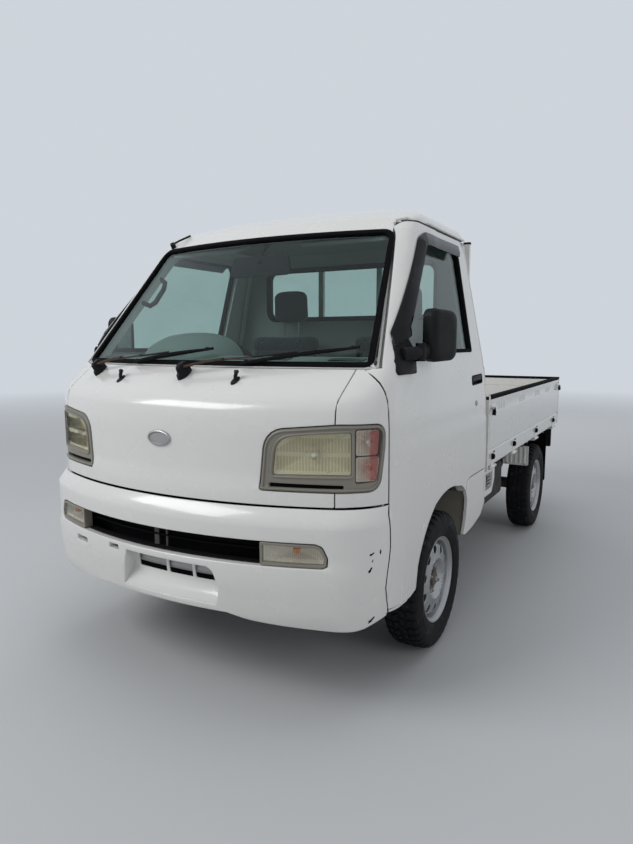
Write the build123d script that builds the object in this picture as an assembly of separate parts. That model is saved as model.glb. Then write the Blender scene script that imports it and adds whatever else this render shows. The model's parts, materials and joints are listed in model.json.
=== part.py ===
from build123d import *
import math
import os

# A small cab-over pickup truck with a three-sided drop bed, right-hand drive, in millimetres.
# The front faces -Y, the vehicle's left side is +X and up is +Z.
# Pieces are drawn with y measured back from the front axle, and write() moves them to the part's
# origin, which is on the ground below the middle of the overall length.
# Left pieces are drawn, and the right ones are their mirror images.

# Overall sizes
WHEELBASE = 1900.0
FRONT_OVERHANG = 815.0
REAR_OVERHANG = 680.0
HALF_WIDTH = 737.5
ROOF_TOP = 1780.0
TRACK = 1300.0
REAR_END = WHEELBASE + REAR_OVERHANG
LENGTH = FRONT_OVERHANG + REAR_END
FRONT_AXLE_Y = FRONT_OVERHANG - LENGTH / 2
# A distance past the cab on every side, where cutting shapes end
OUTSIDE = 1200.0

# Clearances
DOOR_GAP = 5.0
PANEL_GAP = 0.8
LAMP_GAP = 1.5
SEAT_GAP = 0.3
FIT_GAP = 0.5
PIN_GAP = 0.3

# Wheels: 145-wide tyres on 12 inch rims
TYRE_RADIUS = 268.0
TYRE_WIDTH = 145.0
TREAD_HALF = 56.0
SHOULDER_DROP = 14.0
BEAD_RADIUS = 152.0
BEAD_HALF = 50.5
RIM_FLANGE_RADIUS = 166.0
RIM_HALF_WIDTH = 57.0
RIM_THICKNESS = 5.0
DISC_OFFSET = 34.0
DISC_THICKNESS = 7.0
SPINDLE_RADIUS = 16.0
SPINDLE_PROUD = 6.0
DRUM_RADIUS = 105.0
FRONT_DRUM_INNER = 20.0
REAR_DRUM_INNER = 45.0
DRUM_GAP = 2.0
WHEEL_X = TRACK / 2
AXLE_Z = TYRE_RADIUS

# Cab walls
WALL = 45.0
BACK_WALL = 30.0
ROOF_THICKNESS = 30.0
GLASS = 6.0
GLASS_DEPTH = 10.0
REAR_GLASS_DEPTH = 12.0
CAB_REAR = 600.0
BACK_LOW = 480.0
# The corner arcs of an inner section start this share of the inset nearer the middle
CORNER_SHARE = 0.35

# Heights of the cab's seams
BUMPER_SEAM = 686.0
BELT_SEAM = 1104.0
ROOF_SEAM = ROOF_TOP - 140.0
FRONT_SEAM_X = HALF_WIDTH - 132.5

# Cab form, from the ground up: horizontal sections with a bowed front, tangent corners and flat sides
# columns: height, side_inset and corner_inset from the overall width, corner_front, front, rear
CAB_SECTIONS = (
    (330.0, 15.5, 97.5, -640.0, -690.0, CAB_REAR),
    (645.0, 11.5, 97.5, -640.0, -690.0, CAB_REAR),
    (BUMPER_SEAM, 10.5, 137.5, -680.0, -770.0, CAB_REAR),
    (925.0, 15.5, 137.5, -680.0, -768.0, CAB_REAR),
    (1005.0, 21.5, 137.5, -668.0, -757.0, CAB_REAR),
    (BELT_SEAM + 4, 30.5, 82.5, -482.0, -585.0, CAB_REAR),
    (ROOF_SEAM - 40, 130.5, 177.5, -97.0, -180.0, CAB_REAR),
    (ROOF_SEAM + 15, 140.5, 189.5, -35.0, -115.0, CAB_REAR - 2),
    (ROOF_SEAM + 80, 197.5, 267.5, 75.0, 10.0, CAB_REAR - 8),
    (ROOF_SEAM + 120, 337.5, 417.5, 205.0, 160.0, CAB_REAR - 35),
    (ROOF_TOP, 537.5, 587.5, 330.0, 315.0, CAB_REAR - 120),
)
ROOF_ROWS = 4

# Bumper form
# columns: height, side_inset and corner_inset from the overall width, corner_front, front, rear
BUMPER_REAR = -519.0
BUMPER_BACK = BUMPER_REAR + 39.0
BUMPER_SECTIONS = (
    (330.0, 21.5, 147.5, -716.0, -778.0, BUMPER_BACK),
    (440.0, 4.5, 137.5, -738.0, -806.0, BUMPER_BACK),
    (607.0, 0.5, 137.5, -742.0, -812.0, BUMPER_BACK),
    (655.0, 2.5, 137.5, -745.0, -FRONT_OVERHANG, BUMPER_BACK),
    (682.0, 10.5, 137.5, -692.0, -780.0, BUMPER_BACK),
)
BUMPER_WALL = 22.0
LAMP_SPACE_REAR = -600.0
GRILLE_HALF = HALF_WIDTH - 358.5
GRILLE_LOW = 498.0
GRILLE_HIGH = 578.0
GRILLE_THICKNESS = 10.0
GRILLE_HOLE_X = 56.0
GRILLE_HOLE_Z = 22.0
GRILLE_PITCH = 68.0
GRILLE_ROWS_Z = (512.0, 542.0)
# Opening over the number plate, which sits off the middle
PLATE_SLOT_X = (-145.0, 225.0)
PLATE_SLOT_Z = (392.0, 475.0)

# Lamp outlines in the front view
# columns: inset from the overall width, z
HEADLIGHT_OUTLINE = (
    (363.5, 738.0), (365.5, 862.0), (345.5, 900.0), (297.5, 924.0), (177.5, 940.0), (-22.5, 957.0),
    (-22.5, 748.0), (97.5, 738.0),
)
TURN_LAMP_OUTLINE = (
    (351.5, 499.0), (351.5, 572.0), (147.5, 586.0), (131.5, 570.0), (137.5, 520.0), (157.5, 510.0),
)
HEADLIGHT_REAR = -545.0

# Windshield outline in the front view
# columns: inset from the overall width, z
WINDSHIELD_OUTLINE = ((92.5, BELT_SEAM + 8), (177.5, ROOF_SEAM - 44))
WINDSHIELD_REAR = 20.0

# Door outline in the side view: down to the sill ahead of the wheel arch, which cuts through it
# columns: y, z
DOOR_FRONT = -513.0
DOOR_REAR = 563.0
DOOR_SILL_REAR = 617.0
DOOR_TOP = ROOF_SEAM - 6
DOOR_OUTLINE = (
    (DOOR_FRONT, 338.0), (-437.0, 325.0), (-345.0, 320.0), (-285.0, 330.0), (-150.0, 400.0), (200.0, 500.0),
    (279.0, 558.0), (279.0, 596.0), (299.0, 611.0), (335.0, DOOR_SILL_REAR), (DOOR_REAR, DOOR_SILL_REAR),
    (DOOR_REAR, DOOR_TOP - 50), (DOOR_REAR - 40, DOOR_TOP), (-56.0, DOOR_TOP), (-90.0, DOOR_TOP - 22),
    (-482.0, BELT_SEAM), (DOOR_FRONT, BELT_SEAM - 18),
)
# Inner edge of the door's space in the front view
# columns: inset from the overall width, z
DOOR_INNER_EDGE = ((97.5, 250.0), (97.5, 1030.0), (76.5, BELT_SEAM), (154.5, DOOR_TOP - 22), (157.5, 1700.0))
DOOR_SPACE_X = 540.0
WINDOW_OUTLINE = (
    (-398.0, 1150.0), (-366.0, 1222.0), (-32.0, DOOR_TOP - 70), (28.0, DOOR_TOP - 46), (420.0, DOOR_TOP - 44),
    (452.0, DOOR_TOP - 74), (412.0, 1150.0),
)

# Wheel arch in the cab side: arcs through points of the side view, flatter on top and tucked in behind
# columns: y and z where the arc starts, y and z of a point on it
ARCH_ARCS = (
    (-288.0, 379.0, -215.0, 503.0),
    (-106.0, 593.0, 30.0, 622.0),
    (170.0, 608.0, 272.0, 560.0),
    (301.0, 501.0, 296.0, 440.0),
)
ARCH_END = (268.0, 379.0)
ARCH_FOOT_Z = 200.0
ARCH_SPACE_X = 400.0

# Lower edge of the cab side behind the arch
# columns: y, z
SIDE_LOWER_EDGE = (
    (268.0, 379.0), (296.0, 371.0), (398.0, 379.0), (524.0, 402.0), (586.0, 453.0), (CAB_REAR + 10, 455.0),
    (CAB_REAR + 10, 300.0), (240.0, 300.0), (240.0, 379.0),
)
SIDE_PANEL_FRONT = 240.0

# Rear window
REAR_WINDOW_HALF = HALF_WIDTH - 267.5
REAR_WINDOW_LOW = 1305.0
REAR_WINDOW_HIGH = ROOF_SEAM - 75

# Cargo bed, whose heights hang from the deck
BED_TOP = 655.0
BED_FRONT = CAB_REAR + 34
BED_REAR = REAR_END - 42
BED_HALF = HALF_WIDTH - 40.5
BED_DECK = 25.0
BED_SKIRT = 17.0
BED_SKIRT_LOW = BED_TOP - 70
BED_SILL_LOW = BED_TOP - 95
BED_SILL_WIDTH = 50.0
BED_SILLS_Y = (BED_FRONT + 66, WHEELBASE - 760, WHEELBASE - 260, WHEELBASE + 400, BED_REAR - 45)

# Ladder frame, whose rails rise to the bed's sills behind the cab
RAIL_INNER = 340.0
RAIL_OUTER = 400.0
FRAME_LOW = 380.0
FRAME_TOP = 470.0
FRAME_FRONT = -560.0
FRAME_REAR = REAR_END - 80
RAISED_REAR = FRAME_REAR - 30
CROSSMEMBERS_Y = (-520.0, BED_FRONT + 6, WHEELBASE - 720, WHEELBASE + 160, FRAME_REAR - 50)
CROSSMEMBER_WIDTH = 60.0
CROSSMEMBER_LOW = FRAME_LOW + 15
CROSSMEMBER_TOP = FRAME_TOP - 10

# Cab floor: foot well ahead of the wheels, and the deck that carries the seats above them
FOOT_FLOOR_THICKNESS = 20.0
FOOT_WELL_FRONT = -640.0
FOOT_WELL_REAR = -285.0
RISER_THICKNESS = 15.0
DECK_LOW = 645.0
DECK_TOP = DECK_LOW + 20.0
FLOOR_REAR = CAB_REAR - 32
WHEELHOUSE_X = 395.0
WHEELHOUSE_WALL = 15.0

# Drop gates, which hang from pins below their lower edges
GATE_OUTER = HALF_WIDTH - 9.5
GATE_THICKNESS = 25.0
GATE_LOW = BED_TOP - 49
GATE_TOP = BED_TOP + 290
GATE_FRONT = BED_FRONT + 5
GATE_REAR = BED_REAR + 2
TAIL_GATE_INNER = BED_REAR + 7
HINGE_RADIUS = 7.5
HINGE_Z = GATE_LOW - 8
HINGE_X = HALF_WIDTH - HINGE_RADIUS
TAIL_HINGE_Y = REAR_END - HINGE_RADIUS
GATE_HINGES_Y = (BED_FRONT + 66, WHEELBASE - 750, WHEELBASE - 149, WHEELBASE + 456)
TAIL_HINGES_X = (-520.0, 0.0, 520.0)
HINGE_LENGTH = 60.0
HINGE_LUG = 24.0
HINGE_SIDE_GAP = 2.0
HINGE_LEAF = 8.0

# Headboard, posts and cross tubes behind the cab
GUARD_FRONT = CAB_REAR + 13
GUARD_REAR = CAB_REAR + 33
GUARD_TOP = ROOF_SEAM
GUARD_TUBE = 28.0
GUARD_TUBE_DEPTH = 18.0
GUARD_MIDDLE = GUARD_FRONT + 10.5
GUARD_POSTS_X = (165.0, HALF_WIDTH - 137.5)
GUARD_LOW_TUBE = 1262.0

# Front suspension and steering: the steering axis leans inward from the hub to the seat deck
# columns of a point: x, z
KINGPIN_LOW = (WHEEL_X - 60, AXLE_Z - 73)
KINGPIN_HIGH = (WHEEL_X - 145, DECK_LOW)
KNUCKLE_RADIUS = 20.0
KNUCKLE_LOW = AXLE_Z - 58
KNUCKLE_HIGH = AXLE_Z + 120
KNUCKLE_HUB_X = WHEEL_X - 85
KNUCKLE_HUB_RADIUS = 42.0
STEERING_ARM_X = (WHEEL_X - 94, WHEEL_X - 79)
STEERING_ARM_Z = (AXLE_Z - 36, AXLE_Z - 16)
STEERING_ARM_REACH = 130.0
STRUT_LOW = KNUCKLE_HIGH + FIT_GAP
STRUT_TOP = DECK_LOW - 10
STRUT_RADIUS = 19.0
STRUT_PLATE_RADIUS = 45.0
STRUT_PLATE_LOW = DECK_LOW - 22
BRIDGE_LOW = 320.0
BRIDGE_Y = (-70.0, 10.0)
ARM_HALF = 30.0
# Lower arm in the front view, from the bridge out to the foot of the steering axis
# columns: x, z
ARM_OUTLINE = (
    (RAIL_INNER - 40, BRIDGE_LOW), (RAIL_OUTER, BRIDGE_LOW), (KINGPIN_LOW[0] - 35, KINGPIN_LOW[1] + 10),
    (KINGPIN_LOW[0] + 14, KINGPIN_LOW[1] - 5), (KINGPIN_LOW[0] + 14, KINGPIN_LOW[1] - 27),
    (KINGPIN_LOW[0] - 24, KINGPIN_LOW[1] - 27), (RAIL_OUTER - 20, BRIDGE_LOW - 32),
    (RAIL_INNER - 40, BRIDGE_LOW - 32),
)
RACK_HALF = 260.0
RACK_Y = -120.0
RACK_Z = 350.0
RACK_RADIUS = 22.0
RACK_BRACKET_HALF = (60.0, 15.0)

# Rear axle and drive line
AXLE_TUBE_RADIUS = 35.0
DIFFERENTIAL_RADIUS = 110.0
PINION_RADIUS = 45.0
PINION_REACH = 150.0
SPRING_SEAT_Z = AXLE_Z - 35.5
SPRING_PAD_HALF = 20.0
SPRING_X = (RAIL_INNER + 5, RAIL_OUTER - 5)
SPRING_REACH = 500.0
SPRING_RISE = 110.0
SPRING_THICKNESS = 24.0
SPRING_HANGER = 30.0
SHAFT_Z = 280.0
SHAFT_RADIUS = 25.0
SHAFT_FRONT = 850.0

# Engine, gearbox and their mount between the rails
# columns: half_width, front, rear, low, high
ENGINE_BLOCKS = (
    (190.0, 40.0, 520.0, 330.0, 600.0),
    (110.0, 500.0, 820.0, 330.0, 460.0),
    (RAIL_INNER, 260.0, 320.0, 400.0, 440.0),
)
OUTPUT_FRONT = 760.0
OUTPUT_Z = SHAFT_Z + 12
OUTPUT_RADIUS = 45.0
CROSSMEMBER_CLEARANCE = 5.0

# Fuel tank and exhaust
TANK_X = (RAIL_OUTER, 650.0)
TANK_Y = (WHEELBASE - 1140, WHEELBASE - 670)
TANK_Z = (345.0, 545.0)
TANK_FILLET = 30.0
# columns: front, rear, x, z, radius
EXHAUST_RODS = (
    (WHEELBASE - 750, WHEELBASE - 300, -205.0, 302.0, 78.0),
    (ENGINE_BLOCKS[0][2] + SEAT_GAP, WHEELBASE - 750, -170.0, 348.0, 18.0),
    (WHEELBASE - 300, REAR_END - 140, -205.0, 352.0, 18.0),
)
EXHAUST_HANGER_Y = (WHEELBASE - 540, WHEELBASE - 500)
EXHAUST_HANGER_Z = (FRAME_LOW - 10, FRAME_LOW + 12)

# Panels round the rear wheel
# columns: x0, x1, y0, low; each hangs from the bed's sills
WHEEL_SCREENS = (
    (575.0, 700.0, WHEELBASE + 400, 222.0),
    (560.0, 712.0, WHEELBASE - 260, 440.0),
)
SCREEN_THICKNESS = 6.0
# Side cover behind the cab in the side view
# columns: y, z
COVER_OUTLINE = (
    (CAB_REAR + 12, 455.0), (CAB_REAR + 12, BED_SKIRT_LOW), (CAB_REAR + 221, BED_SKIRT_LOW),
    (CAB_REAR + 220, 518.0), (CAB_REAR + 173, 455.0),
)
COVER_THICKNESS = 16.0

# Rear bar, tow eye, plate holes and tail lamps
BAR_HALF = 560.0
BAR_DEPTH = 40.0
BAR_Z = (390.0, 450.0)
EYE_HALF = 8.0
EYE_Y = (FRAME_REAR + 10, FRAME_REAR + 62)
EYE_Z = (350.0, 420.0)
EYE_CENTRE = (FRAME_REAR + 38, 376.0)
EYE_BORE = 14.0
PLATE_HOLE_X = 105.0
PLATE_HOLE_Z = 425.0
PLATE_HOLE_RADIUS = 3.5
TAIL_LAMP_X = (560.0, 690.0)
TAIL_LAMP_Y = (FRAME_REAR + BAR_DEPTH, FRAME_REAR + BAR_DEPTH + 22)
TAIL_LAMP_Z = (430.0, 575.0)
TAIL_LAMP_BRACKET_X = (600.0, 660.0)
TAIL_LAMP_BRACKET_LOW = 470.0

# Dashboard and seats in the side view
# columns: y, z
DASH_PROFILE = (
    (-800.0, 1092.0), (-460.0, 1092.0), (-350.0, 1070.0), (-300.0, 1010.0), (-305.0, 900.0), (-400.0, 800.0),
    (-800.0, 760.0),
)
# Its ends are narrower than the doors' inner edges, which swing back past them
DASH_HALF = HALF_WIDTH - DOOR_INNER_EDGE[0][0] - 2 * DOOR_GAP
CUSHION_PROFILE = (
    (-40.0, DECK_TOP), (-60.0, 790.0), (-20.0, 820.0), (400.0, 800.0), (470.0, 760.0), (470.0, DECK_TOP),
)
BACKREST_PROFILE = (
    (385.0, 790.0), (430.0, 1245.0), (500.0, 1252.0), (535.0, 1235.0), (500.0, 740.0), (460.0, 740.0),
)
HEADREST_PROFILE = (
    (462.0, 1295.0), (460.0, 1430.0), (490.0, 1455.0), (545.0, 1450.0), (560.0, 1310.0), (540.0, 1290.0),
)
SEAT_X = 300.0
# Half widths of the seat's cushion, backrest and head restraint
SEAT_HALVES = (235.0, 225.0, 124.0)
SEAT_POST_X = 50.0
SEAT_POST_Y = 505.0
SEAT_POST_Z = (1235.0, 1320.0)
SEAT_POST_RADIUS = 7.0

# Steering wheel and column
STEERING_CENTRE = (-320.0, -20.0, 1095.0)
STEERING_TILT = 40.0
STEERING_RADIUS = 185.0
STEERING_TUBE = 14.0
STEERING_HUB_RADIUS = 45.0
STEERING_HUB_LENGTH = 44.0
STEERING_HUB_DEPTH = 18.0
SPOKE_ANGLES = (-20.0, 200.0, 270.0)
SPOKE_WIDTH = 34.0
SPOKE_THICKNESS = 12.0
SPOKE_DEPTH = 10.0
COLUMN_RADIUS = 18.0
COLUMN_LENGTH = 840.0
COLUMN_COVER_RADIUS = 38.0
COLUMN_COVER_LENGTH = 240.0

# Wipers: pivot and tip in the front view
# columns: pivot_x, pivot_z, tip_x, tip_z
WIPERS = ((-480.0, 1078.0, 60.0, 1158.0), (0.0, 1078.0, 586.0, 1164.0))
WIPER_PROUD = 34.0
WIPER_RADIUS = 6.0
WIPER_STUB = 30.0
WIPER_STUB_RADIUS = 12.0

# Door mirrors, folded back beside the window
MIRROR_THICK = 50.0
MIRROR_LONG = 150.0
MIRROR_HIGH = 184.0
MIRROR_CENTRE = (HALF_WIDTH + 28.5, -200.0, 1212.0)
MIRROR_TURN = 14.5
MIRROR_FILLET = 30.0
MIRROR_STALK = ((HALF_WIDTH - 42.5, -385.0, 1150.0), (HALF_WIDTH + 12.5, -255.0, 1165.0))
MIRROR_STALK_RADIUS = 14.0
# Triangular foot in the side view
# columns: y, z
MIRROR_FOOT = ((-452.0, 1084.0), (-300.0, 1084.0), (-300.0, 1140.0), (-330.0, 1243.0), (-398.0, 1190.0))
MIRROR_FOOT_X = (HALF_WIDTH - 77.5, HALF_WIDTH - 15.5)


def write(name, *shapes):
    """Write one node as parts/NAME.step, moved to the part's origin."""
    solids = []
    for shape in shapes:
        solids.extend(shape.solids())
    piece = solids[0] if len(solids) == 1 else Compound(children=solids)
    piece = Pos(0, FRONT_AXLE_Y, 0) * piece
    export_step(piece, "parts/" + name + ".step")
    print(name, len(solids), round(sum(solid.volume for solid in solids) / 1e6, 2))


def write_pair(name, left):
    """Write a left piece and its mirror image as two nodes."""
    write("left_" + name, left)
    write("right_" + name, other_side(left))


def largest(shape):
    """The biggest solid of a shape."""
    return shape.solids().sort_by(SortBy.VOLUME)[-1]


def other_side(shape):
    """The same shape on the other side of the truck."""
    return mirror(shape, about=Plane.YZ)


def both_sides(shape):
    """The solids of a left piece and of its mirror image."""
    return list(shape.solids()) + list(other_side(shape).solids())


def block(x0, x1, y0, y1, z0, z1):
    """A box between two corners."""
    centre = Pos((x0 + x1) / 2, (y0 + y1) / 2, (z0 + z1) / 2)
    return centre * Box(abs(x1 - x0), abs(y1 - y0), abs(z1 - z0))


def side_plane(x):
    """The plane at x in which an outline is given as (y, z)."""
    return Plane(origin=(x, 0, 0), x_dir=(0, 1, 0), z_dir=(1, 0, 0))


def side_prism(points, x0, x1):
    """A prism along x of an outline given as (y, z) points."""
    return extrude(side_plane(x0) * make_face(Polyline(*points, close=True)), amount=x1 - x0)


def front_prism(points, y0, y1, grown=0.0):
    """A prism along y of an outline given as (x, z) points, grown by a gap."""
    outline = make_face(Polyline(*points, close=True))
    if grown:
        outline = offset(outline, amount=grown, kind=Kind.INTERSECTION)
    plane = Plane(origin=(0, y1, 0), x_dir=(1, 0, 0), z_dir=(0, -1, 0))
    return extrude(plane * outline, amount=y1 - y0)


def from_side(points):
    """Outline points with x given as an inset from the overall width."""
    return [(HALF_WIDTH - inset, z) for inset, z in points]


def rod_x(x0, x1, y, z, radius):
    """A round rod along x."""
    return Pos((x0 + x1) / 2, y, z) * Rot(0, 90, 0) * Cylinder(radius, abs(x1 - x0))


def rod_y(y0, y1, x, z, radius):
    """A round rod along y."""
    return Pos(x, (y0 + y1) / 2, z) * Rot(90, 0, 0) * Cylinder(radius, abs(y1 - y0))


def rod_z(z0, z1, x, y, radius):
    """A round rod along z."""
    return Pos(x, y, (z0 + z1) / 2) * Cylinder(radius, abs(z1 - z0))


def rod_between(start, end, radius):
    """A round rod between two points."""
    run = Vector(*end) - Vector(*start)
    return extrude(Plane(origin=start, z_dir=run) * Circle(radius), amount=run.length)


def bow_radius(corner_x, corner_front, front):
    """The radius of a section's bowed front, through the middle and both corners."""
    sag = corner_front - front
    return (corner_x ** 2 + sag ** 2) / (2 * sag)


def section_face(height, half_width, corner_x, corner_front, front, rear):
    """One horizontal section: a bowed front, tangent corner arcs, flat sides and a straight rear."""
    turn = math.asin(corner_x / bow_radius(corner_x, corner_front, front))
    radius = (half_width - corner_x) / (1 - math.sin(turn))
    side_front = corner_front + radius * math.cos(turn)
    middle = (turn + math.pi / 2) / 2
    arc_x = half_width - radius + radius * math.sin(middle)
    arc_y = side_front - radius * math.cos(middle)
    outline = [
        Line((half_width, rear), (half_width, side_front)),
        ThreePointArc((half_width, side_front), (arc_x, arc_y), (corner_x, corner_front)),
        ThreePointArc((corner_x, corner_front), (0, front), (-corner_x, corner_front)),
        ThreePointArc((-corner_x, corner_front), (-arc_x, arc_y), (-half_width, side_front)),
        Line((-half_width, side_front), (-half_width, rear)),
        Line((-half_width, rear), (half_width, rear)),
    ]
    return Pos(0, 0, height) * make_face(Curve() + outline)


def lofted(sections, inset, rear_inset, top_inset, foot):
    """The form through a table of sections, with its walls moved in and its lowest section down."""
    top = sections[-1][0]
    roof_start = sections[-1 - ROOF_ROWS][0] if top_inset else top
    faces = []
    for row, (height, side_inset, corner_inset, corner_front, front, rear) in enumerate(sections):
        level = height
        if height > roof_start:
            level = height - top_inset * (height - roof_start) / (top - roof_start)
        if row == 0:
            level = height - foot
        faces.append(section_face(level, HALF_WIDTH - side_inset - inset,
                                  HALF_WIDTH - corner_inset - CORNER_SHARE * inset,
                                  corner_front + inset, front + inset, rear - rear_inset))
    return loft(faces, ruled=True)


def cab_form(inset=0.0, foot=0.0):
    """The cab's outer form, or the space inside it at a given depth."""
    share = min(inset / WALL, 1.0)
    return lofted(CAB_SECTIONS, inset, BACK_WALL * share + max(inset - WALL, 0), ROOF_THICKNESS * share, foot)


def bumper_form(inset=0.0, foot=0.0):
    """The bumper's outer form, or the same moved in by an inset."""
    return lofted(BUMPER_SECTIONS, inset, -foot, 0, foot)


def front_y(x, z):
    """Where the bowed front of the cab lies at a place of the front view."""
    for low, high in zip(CAB_SECTIONS[:-1], CAB_SECTIONS[1:]):
        if low[0] <= z <= high[0]:
            depths = []
            for _, _, corner_inset, corner_front, front, _ in (low, high):
                radius = bow_radius(HALF_WIDTH - corner_inset, corner_front, front)
                depths.append(front + radius - math.sqrt(radius ** 2 - x ** 2))
            return depths[0] + (depths[1] - depths[0]) * (z - low[0]) / (high[0] - low[0])


def arch_space():
    """The left wheel's space in the cab side."""
    ends = [(y, z) for y, z, _, _ in ARCH_ARCS[1:]] + [ARCH_END]
    edges = [ThreePointArc((y, z), (via_y, via_z), end) for (y, z, via_y, via_z), end in zip(ARCH_ARCS, ends)]
    start = ARCH_ARCS[0][:2]
    rear_foot = (ARCH_END[0], ARCH_FOOT_Z)
    front_foot = (start[0], ARCH_FOOT_Z)
    edges += [Line(ARCH_END, rear_foot), Line(rear_foot, front_foot), Line(front_foot, start)]
    return extrude(side_plane(ARCH_SPACE_X) * make_face(Curve() + edges), amount=OUTSIDE - ARCH_SPACE_X)


def door_region(gap):
    """The space of the left door, seen from the side and from the front, grown by a gap."""
    outline = make_face(Polyline(*DOOR_OUTLINE, close=True))
    if gap:
        outline = offset(outline, amount=gap, kind=Kind.INTERSECTION)
    side = extrude(side_plane(DOOR_SPACE_X) * outline, amount=OUTSIDE - DOOR_SPACE_X)
    inner = [(x - gap, z) for x, z in from_side(DOOR_INNER_EDGE)]
    inner += [(OUTSIDE, inner[-1][1]), (OUTSIDE, inner[0][1])]
    return side & front_prism(inner, -OUTSIDE, OUTSIDE)


def back_region(gap):
    """The back wall's space between the rear pillars, grown by a gap."""
    outline = []
    for low, high in zip(CAB_SECTIONS[1:-1], CAB_SECTIONS[2:]):
        outline.append((low[1], low[0]))
        if high[0] > ROOF_SEAM:
            share = (ROOF_SEAM - low[0]) / (high[0] - low[0])
            outline.append((low[1] + share * (high[1] - low[1]), ROOF_SEAM))
            break
    edge = [(x - WALL + gap, z) for x, z in from_side(outline)]
    edge.insert(0, (edge[0][0], BACK_LOW - gap))
    edge += [(-x, z) for x, z in reversed(edge)]
    return front_prism(edge, CAB_REAR - BACK_WALL - gap, CAB_REAR + gap)


def glass_layer():
    """The layer of the cab's form in which its front and side glass lies."""
    return cab_form(GLASS_DEPTH) - cab_form(GLASS_DEPTH + GLASS)


def windshield_space(gap=0.0):
    """The windshield's space in the front view, drawn in by a gap at its sides."""
    corners = [(x - gap, z) for x, z in from_side(WINDSHIELD_OUTLINE)]
    corners += [(-x, z) for x, z in reversed(corners)]
    return front_prism(corners, -OUTSIDE, WINDSHIELD_REAR)


def make_front(shell):
    """Headlights, the front panel between its two seams, and the rounded corners outside them."""
    outline = from_side(HEADLIGHT_OUTLINE)
    lamp = front_prism(outline, -OUTSIDE, HEADLIGHT_REAR)
    write("headlights", *both_sides(largest(shell & lamp)))
    space = front_prism(outline, -OUTSIDE, HEADLIGHT_REAR + FIT_GAP, grown=LAMP_GAP)
    spaces = space + other_side(space)
    low = BUMPER_SEAM + PANEL_GAP
    middle = block(-FRONT_SEAM_X, FRONT_SEAM_X, -OUTSIDE, -400, low, BELT_SEAM)
    write("front_panel", (shell & middle) - spaces)
    corner = block(FRONT_SEAM_X + PANEL_GAP, OUTSIDE, -OUTSIDE, DOOR_FRONT - DOOR_GAP, low, BELT_SEAM)
    write("corner_panels", *both_sides((shell & corner) - spaces))


def make_doors(shell, arch):
    """Doors, each as thick as the cab's wall, and the glass in them."""
    window = side_prism(WINDOW_OUTLINE, DOOR_SPACE_X, OUTSIDE)
    write_pair("door", largest((shell & door_region(0)) - arch - window))
    beside = block(DOOR_SPACE_X, OUTSIDE, -500, DOOR_REAR, BELT_SEAM, ROOF_SEAM)
    write_pair("door_glass", largest(glass_layer() & window & beside))


def make_roof_and_back(shell):
    """Roof, back wall and the rear window in it."""
    above_seam = block(-OUTSIDE, OUTSIDE, -OUTSIDE, OUTSIDE, ROOF_SEAM + PANEL_GAP, ROOF_TOP + 10)
    write("roof_panel", shell & above_seam)
    hole = block(-REAR_WINDOW_HALF, REAR_WINDOW_HALF, CAB_REAR - BACK_WALL - 10, CAB_REAR + 10,
                 REAR_WINDOW_LOW, REAR_WINDOW_HIGH)
    write("cab_back_panel", largest((shell & back_region(0)) - hole))
    half = REAR_WINDOW_HALF - FIT_GAP
    outside = CAB_REAR - REAR_GLASS_DEPTH
    write("rear_window", block(-half, half, outside - GLASS, outside,
                               REAR_WINDOW_LOW + FIT_GAP, REAR_WINDOW_HIGH - FIT_GAP))


def make_cab():
    """The cab's shell, split where its panels meet; what is left is pillars, header, cowl and sides."""
    shell = cab_form() - cab_form(WALL, foot=20.0)
    arch = arch_space()
    make_front(shell)
    make_doors(shell, arch)
    make_roof_and_back(shell)
    write("windshield", glass_layer() & windshield_space(FIT_GAP))

    grown_door = door_region(DOOR_GAP)
    under = side_prism(SIDE_LOWER_EDGE, DOOR_SPACE_X, OUTSIDE)
    front_half = FRONT_SEAM_X + 60
    body = shell - windshield_space()
    for space in (grown_door, arch, under):
        body = body - space - other_side(space)
    body = body - block(-OUTSIDE, OUTSIDE, -OUTSIDE, SIDE_PANEL_FRONT, 300, BUMPER_SEAM + PANEL_GAP)
    body = body - block(-front_half, front_half, -OUTSIDE, -400, BUMPER_SEAM, BELT_SEAM + PANEL_GAP)
    body = body - block(-OUTSIDE, OUTSIDE, -OUTSIDE, DOOR_FRONT, BUMPER_SEAM, BELT_SEAM + PANEL_GAP)
    body = body - block(-OUTSIDE, OUTSIDE, -OUTSIDE, OUTSIDE, ROOF_SEAM, ROOF_TOP + 10)
    body = body - back_region(PANEL_GAP)
    # The floor of the inner form, over the frame
    body = body - block(-660, 660, -OUTSIDE, OUTSIDE, 300, FRAME_TOP)
    write("cab_body", *[solid for solid in body.solids() if solid.volume > 2e5])


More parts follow.
